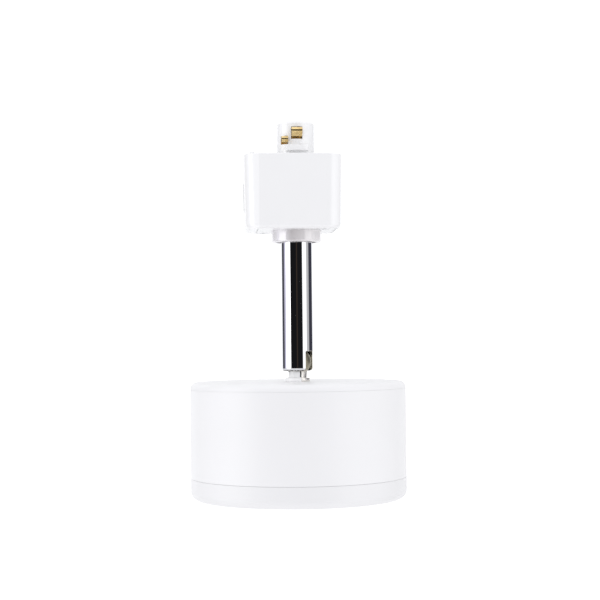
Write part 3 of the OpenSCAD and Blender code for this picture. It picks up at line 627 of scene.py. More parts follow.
def circuit_board(name, mask, track):
    """Solder mask over copper tracks, drawn as patches of a brick pattern."""
    look = Shader(name, Roughness=0.35, Coat_Weight=0.3)
    lands = look.add("TexBrick", Vector=look.place, Scale=180, Mortar_Size=0.012)
    edge = lands.outputs["Fac"]
    patch = look.patches(5, 1, 0.45, 0.5)
    tone = look.mix(look.math("MULTIPLY", edge, patch), mask, track)
    return look.finish(tone, normal=look.bump(edge, 0.02, 0.6))


def phosphor():
    """LED chip: yellow gel whose depth, and so its tone, varies in random patches."""
    look = Shader("led_phosphor", Roughness=0.2, Coat_Weight=0.6)
    depth = look.patches(1.1, 2, 0.3, 0.7)
    return look.finish(look.mix(depth, (0.93, 0.74, 0.14), (0.86, 0.62, 0.08)))


def moulded_black():
    """Moulded electronic parts: charcoal epoxy with a fine matte grain."""
    look = Shader("component_black", Roughness=0.5)
    drift = look.patches(3, 2, 0.3, 0.7)
    tone = look.mix(drift, (0.03, 0.03, 0.032), (0.06, 0.058, 0.055))
    return look.finish(tone, normal=look.bump(look.noise(0.2, 3), 0.01))


SATIN_WHITE = moulded_plastic(
    "adapter_satin_white", (0.916, 0.917, 0.921), (0.906, 0.907, 0.911), 0.2, 0.0015,
    left_end=BOX_X - ADAPTER_W / 2,
)
GLOSS_WHITE = collar_gloss_painted_light()
LAMP_WHITE = moulded_plastic(
    "lamp_satin_white", (0.88, 0.88, 0.875), (0.865, 0.865, 0.86), 0.3, 0.003
)
NYLON = moulded_plastic(
    "natural_nylon", (0.80, 0.77, 0.68), (0.76, 0.73, 0.64), 0.42, 0.004, through=0.3
)
HOLDER_WHITE = moulded_plastic(
    "holder_matte_white", (0.80, 0.80, 0.78), (0.77, 0.77, 0.75), 0.5, 0.01
)
COAT = powder_coat("white_powder_coat", (0.872, 0.872, 0.880), (0.862, 0.862, 0.868))
# The ring's coat is a little darker than the head's coat: painted shade.
RING_COAT_PAINTED_SHADE = powder_coat("ring_powder_coat_painted_shade", (0.848, 0.848, 0.856), (0.838, 0.838, 0.844))
CHROME = chrome()
NICKEL = ball_nickel()
ZINC = turned_metal("zinc_plate", (0.74, 0.75, 0.77), (0.60, 0.61, 0.62), 0.28)
SPRING_STEEL = turned_metal("spring_steel", (0.46, 0.45, 0.44), (0.34, 0.33, 0.32), 0.3)
BRASS = sheet_metal("stamped_brass", (0.86, 0.66, 0.32), (0.66, 0.46, 0.20), 0.24)
BRACKET_STEEL = sheet_metal("bracket_zinc", (0.70, 0.71, 0.73), (0.58, 0.59, 0.60), 0.32)
OPAL = moulded_plastic(
    "opal_diffuser", (0.89, 0.89, 0.873), (0.878, 0.878, 0.86), 0.38, 0.003, through=0.6
)


# -------- rail adapter

CORNER_R = 6.1
DRAFT = 0.5
BOTTOM_R = 2.0
TOP_EDGE_R = 0.35
TOP_WALL = 3.2
CAVITY_X = (-16.0, 13.0)
CAVITY_HALF_Y = 13.5
CAVITY_R = 1.5
PLATE_T = 2.2
PLATE_R = 3.0
PLATE_EDGE = 0.22
PLATE_BORE_R = 5.35
SEAT_GAP = 0.15
COVER_SCREWS = ((-12.3, 10.3), (11.2, -10.3))
POST_R = 2.7
POST_H = 13.0
SCREW_HEAD_R = 2.26
SCREW_R = 1.2
SCREW_L = 11.2
STOP_POST_R = 0.78
STOP_POST_X = 9.5
COLLAR_BORE_R = 8.3
TOWER_R = 7.8
LUG_R = 10.6
LUG_HALF_X = 4.5
LUG_Z = (2.1, 4.4)
BLADE_T = 0.7
BLADE_HALF = 2.2
EARTH_HALF = 1.3
EARTH_SHIFT = -4.9
LATCH_GAP = 0.12
BAY_X = (14.2, 15.0)
SLIDER_X = (15.1, 17.1)
GRIP_X = (16.8, 18.3)
GRIP_HALF = 4.5
GRIP_Z = (-19.2, -10.8)
WINDOW_HALF = 4.62
WINDOW_Z = (-22.32, -10.68)
RIB_X = (17.3, 18.95)
RIB_HALF = 4.2
RIB_LOW = -18.55
RIB_PITCH = 2.0
RIB_COUNT = 4
FOOT_X = (10.8, 15.6)
FOOT_HALF = 2.0
FOOT_H = 1.8


def housing_side(z):
    """Half sizes and corner radius of the adapter's outside at a height."""
    lean = DRAFT * z / (ADAPTER_BOTTOM + BOTTOM_R)
    return ADAPTER_W / 2 - lean, ADAPTER_D / 2 - lean, CORNER_R


def housing_outside():
    """Loops of the adapter's outside from its top edge to its bottom edge."""
    half_x, half_y, radius = housing_side(0)
    loops = []
    for i in range(5):
        a = radians(90 * i / 4)
        inset = TOP_EDGE_R * (1 - sin(a))
        loop = rounded_rectangle(half_x - inset, half_y - inset, radius - inset)
        loops.append((loop, -TOP_EDGE_R * (1 - cos(a))))
    for share in (0.25, 0.5, 0.75):
        z = (ADAPTER_BOTTOM + BOTTOM_R) * share
        loops.append((rounded_rectangle(*housing_side(z)), z))
    for i in range(9):
        a = radians(90 * i / 8)
        curve = BOTTOM_R * (1 - cos(a))
        loop = rounded_rectangle(
            half_x - DRAFT - curve, half_y - DRAFT - curve, radius - curve
        )
        loops.append((loop, ADAPTER_BOTTOM + BOTTOM_R * (1 - sin(a))))
    return loops


def build_housing():
    """White box of the adapter: plug hole, cover seat, cavity, latch bay and screw posts."""
    hole = circle_loop(TOWER_R + 0.1, (BOX_X, 0))
    loops = [(hole, -TOP_WALL), (hole, 0.0)] + housing_outside()
    half_x = (cover_high.x - cover_low.x) / 2
    half_y = (cover_high.y - cover_low.y) / 2
    seat = ADAPTER_BOTTOM + PLATE_T
    for grow, rise in ((PLATE_EDGE, 0), (0.06, 0.07), (0, PLATE_EDGE), (0, PLATE_T)):
        grow += SEAT_GAP
        loop = rounded_rectangle(half_x + grow, half_y + grow, PLATE_R + grow, COVER_X)
        loops.append((loop, ADAPTER_BOTTOM + rise))
    cavity = rounded_rectangle(
        (CAVITY_X[1] - CAVITY_X[0]) / 2, CAVITY_HALF_Y, CAVITY_R, sum(CAVITY_X) / 2
    )
    loops += [(cavity, seat), (cavity, -TOP_WALL)]
    shell = loft("adapter_shell", loops, closed=True)

    bay_half = (latch_high.y - latch_low.y) / 2 + LATCH_GAP
    bay_low = seat + 0.4
    slider_end = SLIDER_X[1] + LATCH_GAP
    cut(shell, block("bay", (CAVITY_X[1] - 1, -bay_half, bay_low), (BAY_X[1], bay_half, -TOP_WALL)))
    cut(shell, block("channel", (BAY_X[0], -bay_half, bay_low), (slider_end, bay_half, 1)))
    window = block(
        "window", (SLIDER_X[1], -WINDOW_HALF, WINDOW_Z[0]),
        (ADAPTER_W / 2 + 1, WINDOW_HALF, WINDOW_Z[1]),
    )
    soften(window, 0.9, 4)
    cut(shell, window)

    for x, y in COVER_SCREWS:
        join(shell, rod("post", POST_R, seat + 0.05, seat + POST_H, (x, y)))
        near = copysign(abs(y) + POST_R - 0.5, y)
        far = copysign(CAVITY_HALF_Y + 0.4, y)
        web_low = (x - 1, min(near, far), seat + 0.1)
        web_high = (x + 1, max(near, far), seat + POST_H - 0.1)
        join(shell, block("web", web_low, web_high))
        cut(shell, rod("hole", SCREW_R + 0.05, seat - 1, seat + 10, (x, y), 32))
    soften(shell, 0.18, 3, 50)
    turn_to_box(shell)
    place(shell, "adapter", "adapter_plastic", SATIN_WHITE, "adapter_housing")


def build_plate():
    """Cover under the adapter with its countersinks, the spring's peg and the swivel's stop."""
    half_x = (cover_high.x - cover_low.x) / 2
    half_y = (cover_high.y - cover_low.y) / 2
    low = cover_low.z
    bore = circle_loop(PLATE_BORE_R, (BOX_X, 0))
    loops = [(bore, low + PLATE_T), (bore, low)]
    for inset, rise in ((PLATE_EDGE, 0), (0.07, 0.07), (0, PLATE_EDGE), (0, PLATE_T)):
        loop = rounded_rectangle(half_x - inset, half_y - inset, PLATE_R - inset, COVER_X)
        loops.append((loop, low + rise))
    plate = loft("adapter_base_plate", loops, closed=True)
    for x, y in COVER_SCREWS:
        sink = lathe("sink", [(0, -1), (2.4, -1), (2.4, 0), (1.3, 1.1), (1.3, 4), (0, 4)], 48)
        move(sink, x, y, low)
        cut(plate, sink)
    peg_x = BOX_X - (spring_low.x + spring_high.x) / 2
    join(plate, rod("peg", 0.9, low + 1, low + PLATE_T + 1.5, (peg_x, 0)))
    turn_to_box(plate)
    join(plate, rod("stop", STOP_POST_R, low + 1, cover_high.z, (STOP_POST_X, 0)))
    place(plate, "adapter", "adapter_plastic", SATIN_WHITE, "adapter_cover")


def build_cover_screws():
    screws = None
    for x, y in COVER_SCREWS:
        outline = rounded([
            (0, 0, 0), (SCREW_HEAD_R, 0, 0.12), (SCREW_R, 1.08, 0.1),
            (SCREW_R, SCREW_L, 0.4), (0, SCREW_L, 0),
        ], 3)
        screw = lathe("cover_screw_pair", outline, 48)
        for angle in (20, 110):
            slot = block("slot", (-1.3, -0.26, -1), (1.3, 0.26, 0.9))
            soften(slot, 0.2, 2)
            turn(slot, angle)
            cut(screw, slot)
        move(screw, x, y, cover_low.z + 0.03)
        if screws is None:
            screws = screw
        else:
            merge(screws, screw)
    turn_to_box(screws)
    place(screws, "adapter", "zinc_steel", ZINC, "cover_screws")


def build_collar():
    low, top = collar_low.z, ADAPTER_BOTTOM
    outline = rounded([
        (COLLAR_BORE_R, low, 0.35), (COLLAR_R, low, 0.85),
        (COLLAR_R, top, 0.12), (COLLAR_BORE_R, top, 0.1),
    ], 7)
    collar = lathe("swivel_collar_ring", outline, 192)
    place(collar, "adapter", "collar_plastic", GLOSS_WHITE, "swivel_collar")


def build_tower():
    """Plug above the box: round body, flange inside the box, locking lugs and slots for blades."""
    top, low = tower_high.z, tower_low.z
    outline = rounded([
        (0, low, 0), (TOWER_R, low, 0.1), (TOWER_R, top - 1, 0.4), (TOWER_R - 1, top, 0.4),
        (0, top, 0),
    ], 5)
    tower = lathe("contact_plug", outline, 96)
    join(tower, block("flange", (-9, -12, low), (9, 12, low + 2)))
    lugs = rod("lugs", LUG_R, *LUG_Z, sides=96)
    cut(lugs, block("right_waste", (LUG_HALF_X, -20, 0), (20, 20, 6)))
    cut(lugs, block("left_waste", (-20, -20, 0), (-LUG_HALF_X, 20, 6)))
    soften(lugs, 0.3, 3)
    join(tower, lugs)

    half = BLADE_HALF + 0.1
    for side in (-1, 1):
        near, far = sorted((side * 2.75, side * 4.85))
        cut(tower, block("blade_slot", (-half, near, low - 1), (half, far, 12)))
        near, far = sorted((side * 3.8, side * 11))
        cut(tower, block("blade_window", (-half, near, 7), (half, far, 12)))
    earth_left, earth_right = EARTH_SHIFT - EARTH_HALF - 0.1, EARTH_SHIFT + EARTH_HALF + 0.1
    cut(tower, block("earth_slot", (earth_left, -4.45, low - 1), (earth_right, -2.35, 8.4)))
    cut(tower, block("earth_window", (earth_left, -11, 5), (earth_right, -3.4, 8.4)))
    soften(tower, 0.15, 2, 50)
    place(tower, "adapter", "adapter_plastic", SATIN_WHITE, "contact_tower")


def build_blade(name, angle, shift, path, half_width, node):
    blade = bent_strip(name, path, BLADE_T, half_width)
    soften(blade, 0.12, 2, 50)
    turn(blade, angle)
    move(blade, shift, 0)
    place(blade, "adapter", "contact_brass", BRASS, node)


def build_blades():
    line_path = [
        (3.8, -10, 0), (3.8, 11.2, 0.8), (9.4, 11.2, 0.6), (10.2, 10.2, 0.5), (8.0, 8.2, 0),
    ]
    build_blade("live_blade", 0, 0, line_path, BLADE_HALF, "live_contact")
    build_blade("neutral_blade", 180, 0, line_path, BLADE_HALF, "neutral_contact")
    earth_path = [
        (3.4, -10, 0), (3.4, 7.6, 0.7), (8.6, 7.6, 0.5), (9.2, 6.8, 0.35), (7.6, 5.8, 0),
    ]
    build_blade("earth_blade", 180, EARTH_SHIFT, earth_path, EARTH_HALF, "earth_contact")


def build_latch():
    """Release latch: slider with its tab, ribbed grip in the window and the spring's foot."""
    half = (latch_high.y - latch_low.y) / 2
    low, top = latch_low.z, latch_high.z
    latch = block("release_slider", (SLIDER_X[0], -half, low), (SLIDER_X[1], half, top))
    soften(latch, 0.3, 3)
    grip = block(
        "grip", (GRIP_X[0], -GRIP_HALF, GRIP_Z[0]), (GRIP_X[1], GRIP_HALF, GRIP_Z[1])
    )
    soften(grip, 0.25, 3)
    join(latch, grip)
    for i in range(RIB_COUNT):
        z = RIB_LOW + RIB_PITCH * i
        rib = block("rib", (RIB_X[0], -RIB_HALF, z), (RIB_X[1], RIB_HALF, z + 1))
        soften(rib, 0.4, 4)
        join(latch, rib)
    foot = block("foot", (FOOT_X[0], -FOOT_HALF, low), (FOOT_X[1], FOOT_HALF, low + FOOT_H))
    soften(foot, 0.25, 2)
    join(latch, foot)
    turn_to_box(latch)
    place(latch, "latch", "adapter_plastic", SATIN_WHITE, "release_latch")


def build_latch_spring():
    x = (spring_low.x + spring_high.x) / 2
    spring = coil("latch_coil", 1.35, 0.41, 5, spring_low.z, spring_high.z, (x, 0))
    shade(spring)
    spring.data.materials.append(SPRING_STEEL)
    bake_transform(spring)
    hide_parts("latch_spring")


# -------- stem and ball joint

TUBE_BORE_R = 5.7
LIP_BORE_R = 4.9
LIP_R = 1.2
LIP_H = 2.3
SLOT_HALF = 4.2
SLOT_H = 8.2
SLOT_R = 0.6
BALL_R = 5.5
NECK_R = 3.95
NECK_TAPER = 0.2
NECK_FILLET = 0.5
NECK_GROOVE = 14.0
STUD_BORE_R = 2.3
FLANGE_R = 5.0
FLANGE_T = 1.5
THREAD_TOP = 1.8
CRESTS = 7


def build_tube():
    """Chrome tube with a rolled lip under the ball and the tilt slot in one side."""
    low, top = tube_low.z, tube_high.z
    seat_r = BALL_R + 0.05
    lip_top = low + LIP_H
    seat_fall = lip_top - BALL_Z + sqrt(seat_r ** 2 - LIP_BORE_R ** 2)
    outline = [(TUBE_BORE_R, top - 0.15), (TUBE_BORE_R, lip_top)]
    for i in range(6):
        z = lip_top - i * seat_fall / 5
        outline.append((sqrt(seat_r ** 2 - (z - BALL_Z) ** 2), z))
    outline += [(LIP_BORE_R, low + 0.45)]
    outline += arc((LIP_BORE_R + 0.35, low + 0.35), 0.35, 180, 270, 5)
    outline += arc((TUBE_R - LIP_R, low + LIP_R), LIP_R, 270, 360, 14)
    outline += arc((TUBE_R - 0.2, top - 0.2), 0.2, 0, 90, 4)
    outline += [(TUBE_BORE_R + 0.15, top)]
    tube = lathe("chrome_tube", outline, 256)
    slot_top = low + SLOT_H
    points = [(-SLOT_HALF, low - 2), (SLOT_HALF, low - 2)]
    points += arc((SLOT_HALF - SLOT_R, slot_top - SLOT_R), SLOT_R, 0, 90, 6)
    points += arc((-SLOT_HALF + SLOT_R, slot_top - SLOT_R), SLOT_R, 90, 180, 6)
    slot = loft("slot", [(points, 0), (points, 12)])
    slot.data.transform(Matrix.Rotation(radians(90), 4, "X"))
    cut(tube, slot)
    soften(tube, 0.12, 3, 45)
    turn(tube, HEADING)
    place(tube, "stem", "chrome_plate", CHROME, "stem_tube")


def build_stud():
    """Ball, grooved neck, flange on the cap and threaded shank, with a bore for the wires."""
    low, flange_low = stud_low.z, cap_high.z
    flange_top = flange_low + FLANGE_T
    bore_top = BALL_Z + sqrt(BALL_R ** 2 - (STUD_BORE_R + 0.5) ** 2)
    neck_top = BALL_Z - sqrt(BALL_R ** 2 - NECK_R ** 2)
    start = degrees(atan2(bore_top - BALL_Z, STUD_BORE_R + 0.5))
    end = degrees(atan2(neck_top - BALL_Z, NECK_R))
    outline = [(STUD_BORE_R, BALL_Z + 3.6)]
    outline += arc((0, BALL_Z), BALL_R, start, end, 40)
    fillet_x = NECK_R - NECK_TAPER + NECK_FILLET
    outline += arc((fillet_x, flange_top + NECK_FILLET), NECK_FILLET, 180, 270, 6)
    outline += arc((FLANGE_R - 0.3, flange_top - 0.3), 0.3, 90, 0, 4)
    outline += arc((FLANGE_R - 0.12, flange_low + 0.12), 0.12, 0, -90, 3)
    outline += [(NECK_R, flange_low)]
    pitch = (flange_low - THREAD_TOP - low) / CRESTS
    for i in range(CRESTS):
        z = flange_low - THREAD_TOP - pitch * i
        outline += [(NECK_R, z), (NECK_R, z - pitch * 0.2), (NECK_R - 0.4, z - pitch * 0.6)]
    outline += [(NECK_R - 0.4, low + 0.05), (NECK_R - 0.6, low), (STUD_BORE_R, low)]
    stud = lathe("ball_and_stud", outline, 128)
    turn(stud, HEADING)
    groove = block(
        "groove", (-0.3, -NECK_R - 1, flange_top + 0.2), (0.3, -NECK_R + 0.75, neck_top + 0.6)
    )
    turn(groove, NECK_GROOVE)
    cut(stud, groove)
    place(stud, "head", "nickel_plate", NICKEL, "ball_stud")


# -------- head

SEAM_EDGE = 0.14
SEAM_GAP = 0.06
CAP_SEAM_EDGE = 0.05
CAP_SEAM_GAP = 0.03
WALL_T = 1.7
SPIGOT_R = HEAD_R - WALL_T - 0.05
SPIGOT_T = 1.2
CAP_T = 1.8
CAP_EDGE_R = 2.6
CAP_BORE_R = 4.0
BOSS_H = 6.1
BOSS_CIRCLE_R = 36.0
EARTH_BOSS = (0, 19)
LUG_T = 2.0
RING_EDGE_R = 3.5
RING_OPENING_R = 38.5
CLIP_ANGLES = (30, 150, 270)
BOSS_ANGLES = (90, 210, 330)


def polar(radius, angle):
    a = radians(angle)
    return radius * cos(a), radius * sin(a)


BOSSES = [polar(BOSS_CIRCLE_R, angle) for angle in BOSS_ANGLES]


def build_cap():
    """Cap with a round edge, a spigot into the drum and screw bosses."""
    top = cap_high.z
    rim = shell_high.z + CAP_SEAM_GAP
    under = top - CAP_T
    inner = SPIGOT_R - SPIGOT_T
    outline = rounded([
        (CAP_BORE_R, top, 0.1), (HEAD_R, top, CAP_EDGE_R), (HEAD_R, rim, CAP_SEAM_EDGE),
        (SPIGOT_R, rim, 0), (SPIGOT_R, rim - 2.6, 0.3), (inner, rim - 2.6, 0.2),
        (inner, under, 0.5), (CAP_BORE_R, under, 0.05),
    ], 12)
    cap = lathe("head_cap", outline, 256)
    for place_xy in BOSSES:
        join(cap, rod("boss", 3.75, under - BOSS_H, under + 0.5, place_xy))
    join(cap, rod("boss", 4.0, under - 3, under + 0.5, EARTH_BOSS))
    for place_xy in BOSSES:
        cut(cap, rod("hole", 1.52, under - 8, under - 0.8, place_xy, 32))
    cut(cap, rod("hole", 1.97, under - 5, under, EARTH_BOSS, 32))
    turn(cap, HEADING)
    place(cap, "head", "white_coat", COAT, "top_cap")


def build_shell():
    """Drum wall with three lugs for the cap's screws."""
    low, top = shell_low.z, shell_high.z
    outline = rounded([
        (HEAD_R - WALL_T, low, 0.2), (HEAD_R, low, SEAM_EDGE),
        (HEAD_R, top, CAP_SEAM_EDGE), (HEAD_R - WALL_T, top, 0.2),
    ], 4)
    shell = lathe("head_drum", outline, 256)
    lug_low = cap_high.z - CAP_T - BOSS_H - LUG_T - 0.1
    for angle, place_xy in zip(BOSS_ANGLES, BOSSES):
        lug = block("lug", (31.5, -4.5, lug_low), (HEAD_R - 0.8, 4.5, lug_low + LUG_T))
        soften(lug, 0.4, 2)
        turn(lug, angle)
        join(shell, lug)
        cut(shell, rod("hole", 1.65, lug_low - 1, lug_low + 3, place_xy, 32))
    turn(shell, HEADING)
    place(shell, "head", "white_coat", COAT, "head_shell")


def build_ring():
    """Bottom ring with a spigot into the drum and windows for its clips."""
    low, top = ring_low.z, shell_low.z - SEAM_GAP
    spigot_top = ring_high.z
    inner = SPIGOT_R - SPIGOT_T
    outline = rounded([
        (RING_OPENING_R, low, 0.6), (HEAD_R, low, RING_EDGE_R), (HEAD_R, top, SEAM_EDGE),
        (SPIGOT_R, top, 0), (SPIGOT_R, spigot_top, 0.3), (inner, spigot_top, 0.2),
        (inner, low + 2, 0.4), (RING_OPENING_R, low + 2, 0.5),
    ], 12)
    ring = lathe("trim_band", outline, 256)
    for angle in CLIP_ANGLES:
        window = block(
            "window", (SPIGOT_R - 3, -3.5, shell_low.z + 0.6),
            (SPIGOT_R + 1, 3.5, shell_low.z + 5.2),
        )
        turn(window, angle)
        cut(ring, window)
    turn(ring, HEADING)
    place(ring, "head", "white_coat", RING_COAT_PAINTED_SHADE, "trim_ring")


# -------- lamp

LAMP_R = 37.5
LAMP_FACE_DROP = 9.5
PLUG_R = 19.0
PLUG_BORE_R = 17.4
NOTCHES = 24
PIN_HOLE_Y = 26.5
RIM_BORE_R = 33.3
RIM_SEAT_R = 34.6
DIFFUSER_R = 33.2
DIFFUSER_FLANGE_R = 34.4
DIFFUSER_EDGE_R = 1.5
CROWN = 0.7


def build_lamp_base():
    """Lamp housing: rim round the diffuser, grip notches and the round plug between the pins."""
    rim, top = base_low.z, base_high.z
    face = top - LAMP_FACE_DROP
    waist = LAMP_R - 0.5
    outline = rounded([
        (RIM_BORE_R, rim, 0.35), (LAMP_R, rim, 1.6), (LAMP_R, rim + 6.2, 0.3),
        (waist, rim + 6.6, 0.2), (waist, rim + 7.6, 0.2), (LAMP_R, rim + 8, 0.3),
        (LAMP_R, face, 0.8), (PLUG_R, face, 0.8), (PLUG_R, top, 1.0), (0, top, 0),
        (0, top - 1.6, 0), (PLUG_BORE_R, top - 1.6, 0.5), (PLUG_BORE_R, face - 1.6, 0.4),
        (RIM_SEAT_R, face - 1.6, 0.5), (RIM_SEAT_R, rim + 1.6, 0.2), (RIM_BORE_R, rim + 1.6, 0.2),
    ], 6)
    base = lathe("lamp_puck", outline, 192)
    for i in range(NOTCHES):
        notch = polar(LAMP_R + 0.35, 360 * i / NOTCHES)
        cut(base, rod("notch", 0.9, rim + 9.6, face - 1.4, notch, 20))
    for y in (-PIN_HOLE_Y, PIN_HOLE_Y):
        cut(base, rod("hole", 1.5, face - 4, face + 2, (0, y), 32))
    turn(base, HEADING)
    place(base, "lamp", "lamp_white", LAMP_WHITE, "lamp_base")


def build_diffuser():
    """Opal disc that bulges down slightly in its middle, with a round edge and a flange."""
    low, top = diffuser_low.z, diffuser_high.z
    flat_r = DIFFUSER_R - 1.6
    outline = [(0, low)]
    for i in range(1, 17):
        x = flat_r * i / 16
        outline.append((x, low + CROWN * (x / DIFFUSER_R) ** 2))
    edge_x, edge_z = DIFFUSER_R - DIFFUSER_EDGE_R, outline[-1][1] + DIFFUSER_EDGE_R
    outline += arc((edge_x, edge_z), DIFFUSER_EDGE_R, -85, 0, 8)
    outline += [(DIFFUSER_R, top - 1.2), (DIFFUSER_FLANGE_R, top - 1.2), (DIFFUSER_FLANGE_R, top)]
    outline += [(edge_x, top), (edge_x, low + 2.6), (edge_x - 1.5, low + 1.9), (0, low + 1.5)]
    diffuser = lathe("opal_disc", outline, 192)
    turn(diffuser, HEADING)
    place(diffuser, "lamp", "opal", OPAL, "lamp_diffuser")


# -------- pieces carried over from CAD

def dress(node, material):
    """Gives a CAD node its material and clean shading. Its mesh stays as it is."""
    piece = frame["nodes"][node]
    joined = piece.modifiers.new("join", "WELD")
    joined.merge_threshold = 1e-6
    for face in piece.data.polygons:
        face.use_smooth = True
    weighted = piece.modifiers.new("normals", "WEIGHTED_NORMAL")
    weighted.keep_sharp = False
    for slot in piece.material_slots:
        slot.link = "OBJECT"
        slot.material = material
    if not piece.material_slots:
        piece.data.materials.append(material)


def dress_hidden_parts():
    brown = wire_sleeve("wire_brown", (0.16, 0.055, 0.02))
    blue = wire_sleeve("wire_blue", (0.03, 0.10, 0.42))
    earth = wire_sleeve("wire_green_yellow", (0.08, 0.32, 0.05), (0.78, 0.66, 0.05))
    white = wire_sleeve("wire_white", (0.74, 0.74, 0.72))
    green_board = circuit_board("board_green", (0.02, 0.16, 0.07), (0.10, 0.30, 0.10))
    white_board = circuit_board("board_white", (0.80, 0.80, 0.78), (0.66, 0.66, 0.63))
    looks = {
        ZINC: (
            "tower_screws", "swivel_nipple", "thrust_washer", "stop_washer", "nipple_nut",
            "cap_screws", "stud_washer", "stud_nut", "holder_screws", "earth_tag", "earth_screw",
        ),
        SPRING_STEEL: ("wave_washer", "ball_spring", "trim_clips"),
        NYLON: ("swivel_bush", "ball_cup"),
        BRACKET_STEEL: ("holder_bracket",),
        HOLDER_WHITE: ("lamp_holder",),
        BRASS: ("holder_contacts", "lamp_pins"),
        brown: ("live_wire_adapter", "live_wire_head"),
        blue: ("neutral_wire_adapter", "neutral_wire_head"),
        earth: ("earth_wire_adapter", "earth_wire_head"),
        white: ("stem_wires",),
        green_board: ("driver_board",),
        white_board: ("led_board",),
        phosphor(): ("led_chips",),
        moulded_black(): ("driver_parts",),
    }
    for material, nodes in looks.items():
        for node in nodes:
            dress(node, material)


# -------- studio

CAMERA_AZIMUTH = -4.0
CAMERA_DISTANCE = 580.0
CAMERA_HEIGHT = -74.7
CAMERA_LENS = 84.9
CAMERA_PITCH = 1.62
CAMERA_ROLL = 0.57
AXIS_SHIFT = 0.118


def build_camera():
    a = radians(CAMERA_AZIMUTH)
    camera = bpy.data.objects.new("camera", bpy.data.cameras.new("camera"))
    bpy.context.scene.collection.objects.link(camera)
    camera.data.lens = CAMERA_LENS
    camera.data.sensor_width = 36
    camera.data.clip_start = 0.01
    camera.data.clip_end = 50
    camera.location = (
        CAMERA_DISTANCE * MM * sin(a), -CAMERA_DISTANCE * MM * cos(a), CAMERA_HEIGHT * MM
    )
    heading = Matrix.Rotation(a - radians(AXIS_SHIFT), 4, "Z")
    pitch = Matrix.Rotation(radians(90 + CAMERA_PITCH), 4, "X")
    roll = Matrix.Rotation(radians(-CAMERA_ROLL), 4, "Z")
    camera.rotation_euler = (heading @ pitch @ roll).to_euler()
    bpy.context.scene.camera = camera


# What a polished upright surface mirrors: (from, to, tone) in degrees round the object,
# counted from the camera, to the right of the camera positive.
MIRRORED = (
    (-180, -139, (0.85, 0.86, 0.88)),
    (-135, -108, (0.055, 0.055, 0.07)),
    (-104, -90, (0.50, 0.49, 0.60)),
    (-84, -51, (1.9, 1.9, 1.9)),
    (-48, -6, (0.007, 0.007, 0.008)),
    (-3, 1, (0.034, 0.024, 0.018)),
    (4, 38, (0.008, 0.008, 0.009)),
    (41, 69, (1.0, 1.0, 1.0)),
    (75, 92, (0.42, 0.42, 0.43)),
    (96, 135, (0.036, 0.036, 0.050)),
    (140, 180, (0.82, 0.83, 0.85)),
)
STUDIO_LIGHT = 1.235


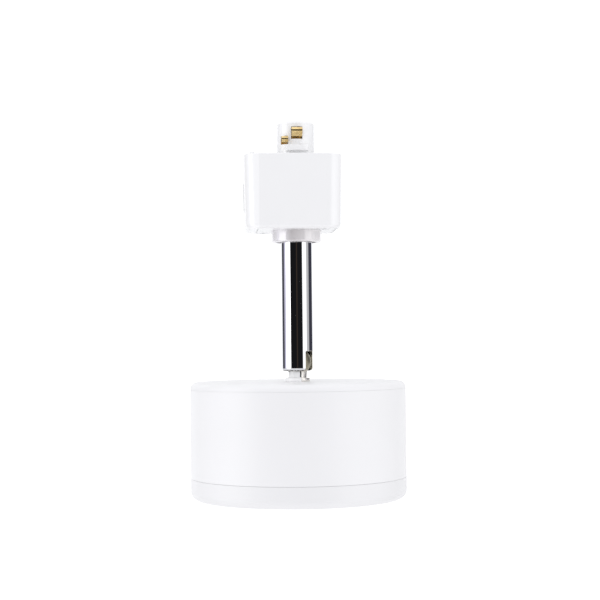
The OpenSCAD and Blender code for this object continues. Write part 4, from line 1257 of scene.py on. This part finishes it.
def build_world():
    """White tent with a dark camera side. The camera itself sees a white backdrop."""
    world = bpy.data.worlds.new("studio")
    bpy.context.scene.world = world
    world.cycles.sampling_method = "NONE"
    tree = Tree(world)
    tree.nodes.clear()

    direction = tree.add("TexCoord").outputs["Generated"]
    turned = tree.add("Mapping", Vector=direction, Rotation=(0, 0, -radians(CAMERA_AZIMUTH)))
    parts = tree.split(turned.outputs["Vector"])
    right, away = parts["X"], parts["Y"]
    toward = tree.math("MULTIPLY", away, -1.0)
    frontal = tree.math("MULTIPLY_ADD", toward, 0.5, 0.5)
    height = tree.math("MULTIPLY_ADD", parts["Z"], 0.5, 0.5)
    bearing = tree.math("ARCTAN2", right, toward)
    share = tree.math("MULTIPLY_ADD", bearing, 1 / (2 * pi), 0.5)

    stops = []
    for start, end, tone in MIRRORED:
        stops += [((start + 180) / 360, tone), ((end + 180) / 360, tone)]
    mirrored = tree.ramp(share, stops)
    ends = tree.ramp(height, [(0, 1), (0.10, 1), (0.22, 0), (0.78, 0), (0.90, 1), (1, 1)])
    glossy = tree.mix(ends, mirrored, (0.97, 0.97, 1.0))

    tent = tree.ramp(frontal, [
        (0.0, (0.66, 0.66, 0.665)), (0.2, (0.80, 0.80, 0.81)), (0.42, (1.22, 1.22, 1.23)),
        (0.6, (1.06, 1.06, 1.08)), (0.75, (0.96, 0.96, 0.98)), (1.0, (0.81, 0.81, 0.835)),
    ])
    by_height = tree.ramp(
        height, [(0, 0.74), (0.30, 0.88), (0.5, 1), (0.7, 0.98), (0.85, 0.86), (1, 0.72)]
    )
    behind = tree.math("MULTIPLY", tree.math("MAXIMUM", away, 0.0), right)
    dimmed = tree.math("MULTIPLY", by_height, tree.math("MULTIPLY_ADD", behind, -0.22, 1.0))
    soft = tree.vector("MULTIPLY", tent, dimmed)
    backdrop = tree.ramp(frontal, [(0, 1), (0.055, 1), (0.20, 0.65), (1, 0.61)])

    rays = tree.add("LightPath").outputs
    seen = tree.mix(rays["Is Glossy Ray"], soft, glossy)
    seen = tree.mix(rays["Is Camera Ray"], seen, backdrop)
    background = tree.add("Background", Color=seen, Strength=STUDIO_LIGHT)
    tree.add("OutputWorld", Surface=background.outputs["Background"])


FLOOR_DROP = 620.0
FLOOR_R = 2300.0


def build_floor():
    """Pale floor well below the lamp. It fades into the backdrop and is unseen from below."""
    verts = []
    for i in range(96):
        a = 2 * pi * i / 96
        verts.append((FLOOR_R * cos(a), FLOOR_R * sin(a), -FLOOR_DROP))
    floor = new_piece("floor", verts, [tuple(range(96))])
    look = Shader("pale_floor", Roughness=0.7)
    tone = look.mix(look.patches(60, 3, 0.3, 0.7), (0.74, 0.74, 0.75), (0.72, 0.72, 0.73))
    look.finish(tone, normal=look.bump(look.noise(4, 3), 0.05))
    fade = look.remap(look.vector("LENGTH", look.place), 1.0, FLOOR_R * MM, 0, 1)
    back = look.add("NewGeometry").outputs["Backfacing"]
    mixer = look.add("MixShader")
    layers = (look.math("MAXIMUM", fade, back), look.surface.outputs["BSDF"],
              look.add("BsdfTransparent").outputs["BSDF"])
    for slot, value in zip(mixer.inputs, layers):
        look.feed(slot, value)
    look.fill(look.nodes["Material Output"], {"Surface": mixer.outputs["Shader"]})
    floor.data.materials.append(look.material)


# -------- build

build_housing()
build_plate()
build_cover_screws()
build_collar()
build_tower()
build_blades()
build_latch()
build_latch_spring()
build_tube()
build_stud()
build_cap()
build_shell()
build_ring()
build_lamp_base()
build_diffuser()
dress_hidden_parts()
build_floor()
build_camera()
build_world()

scene = bpy.context.scene
scene.view_settings.view_transform = "Standard"
scene.cycles.use_denoising = True
scene.cycles.max_bounces = 12
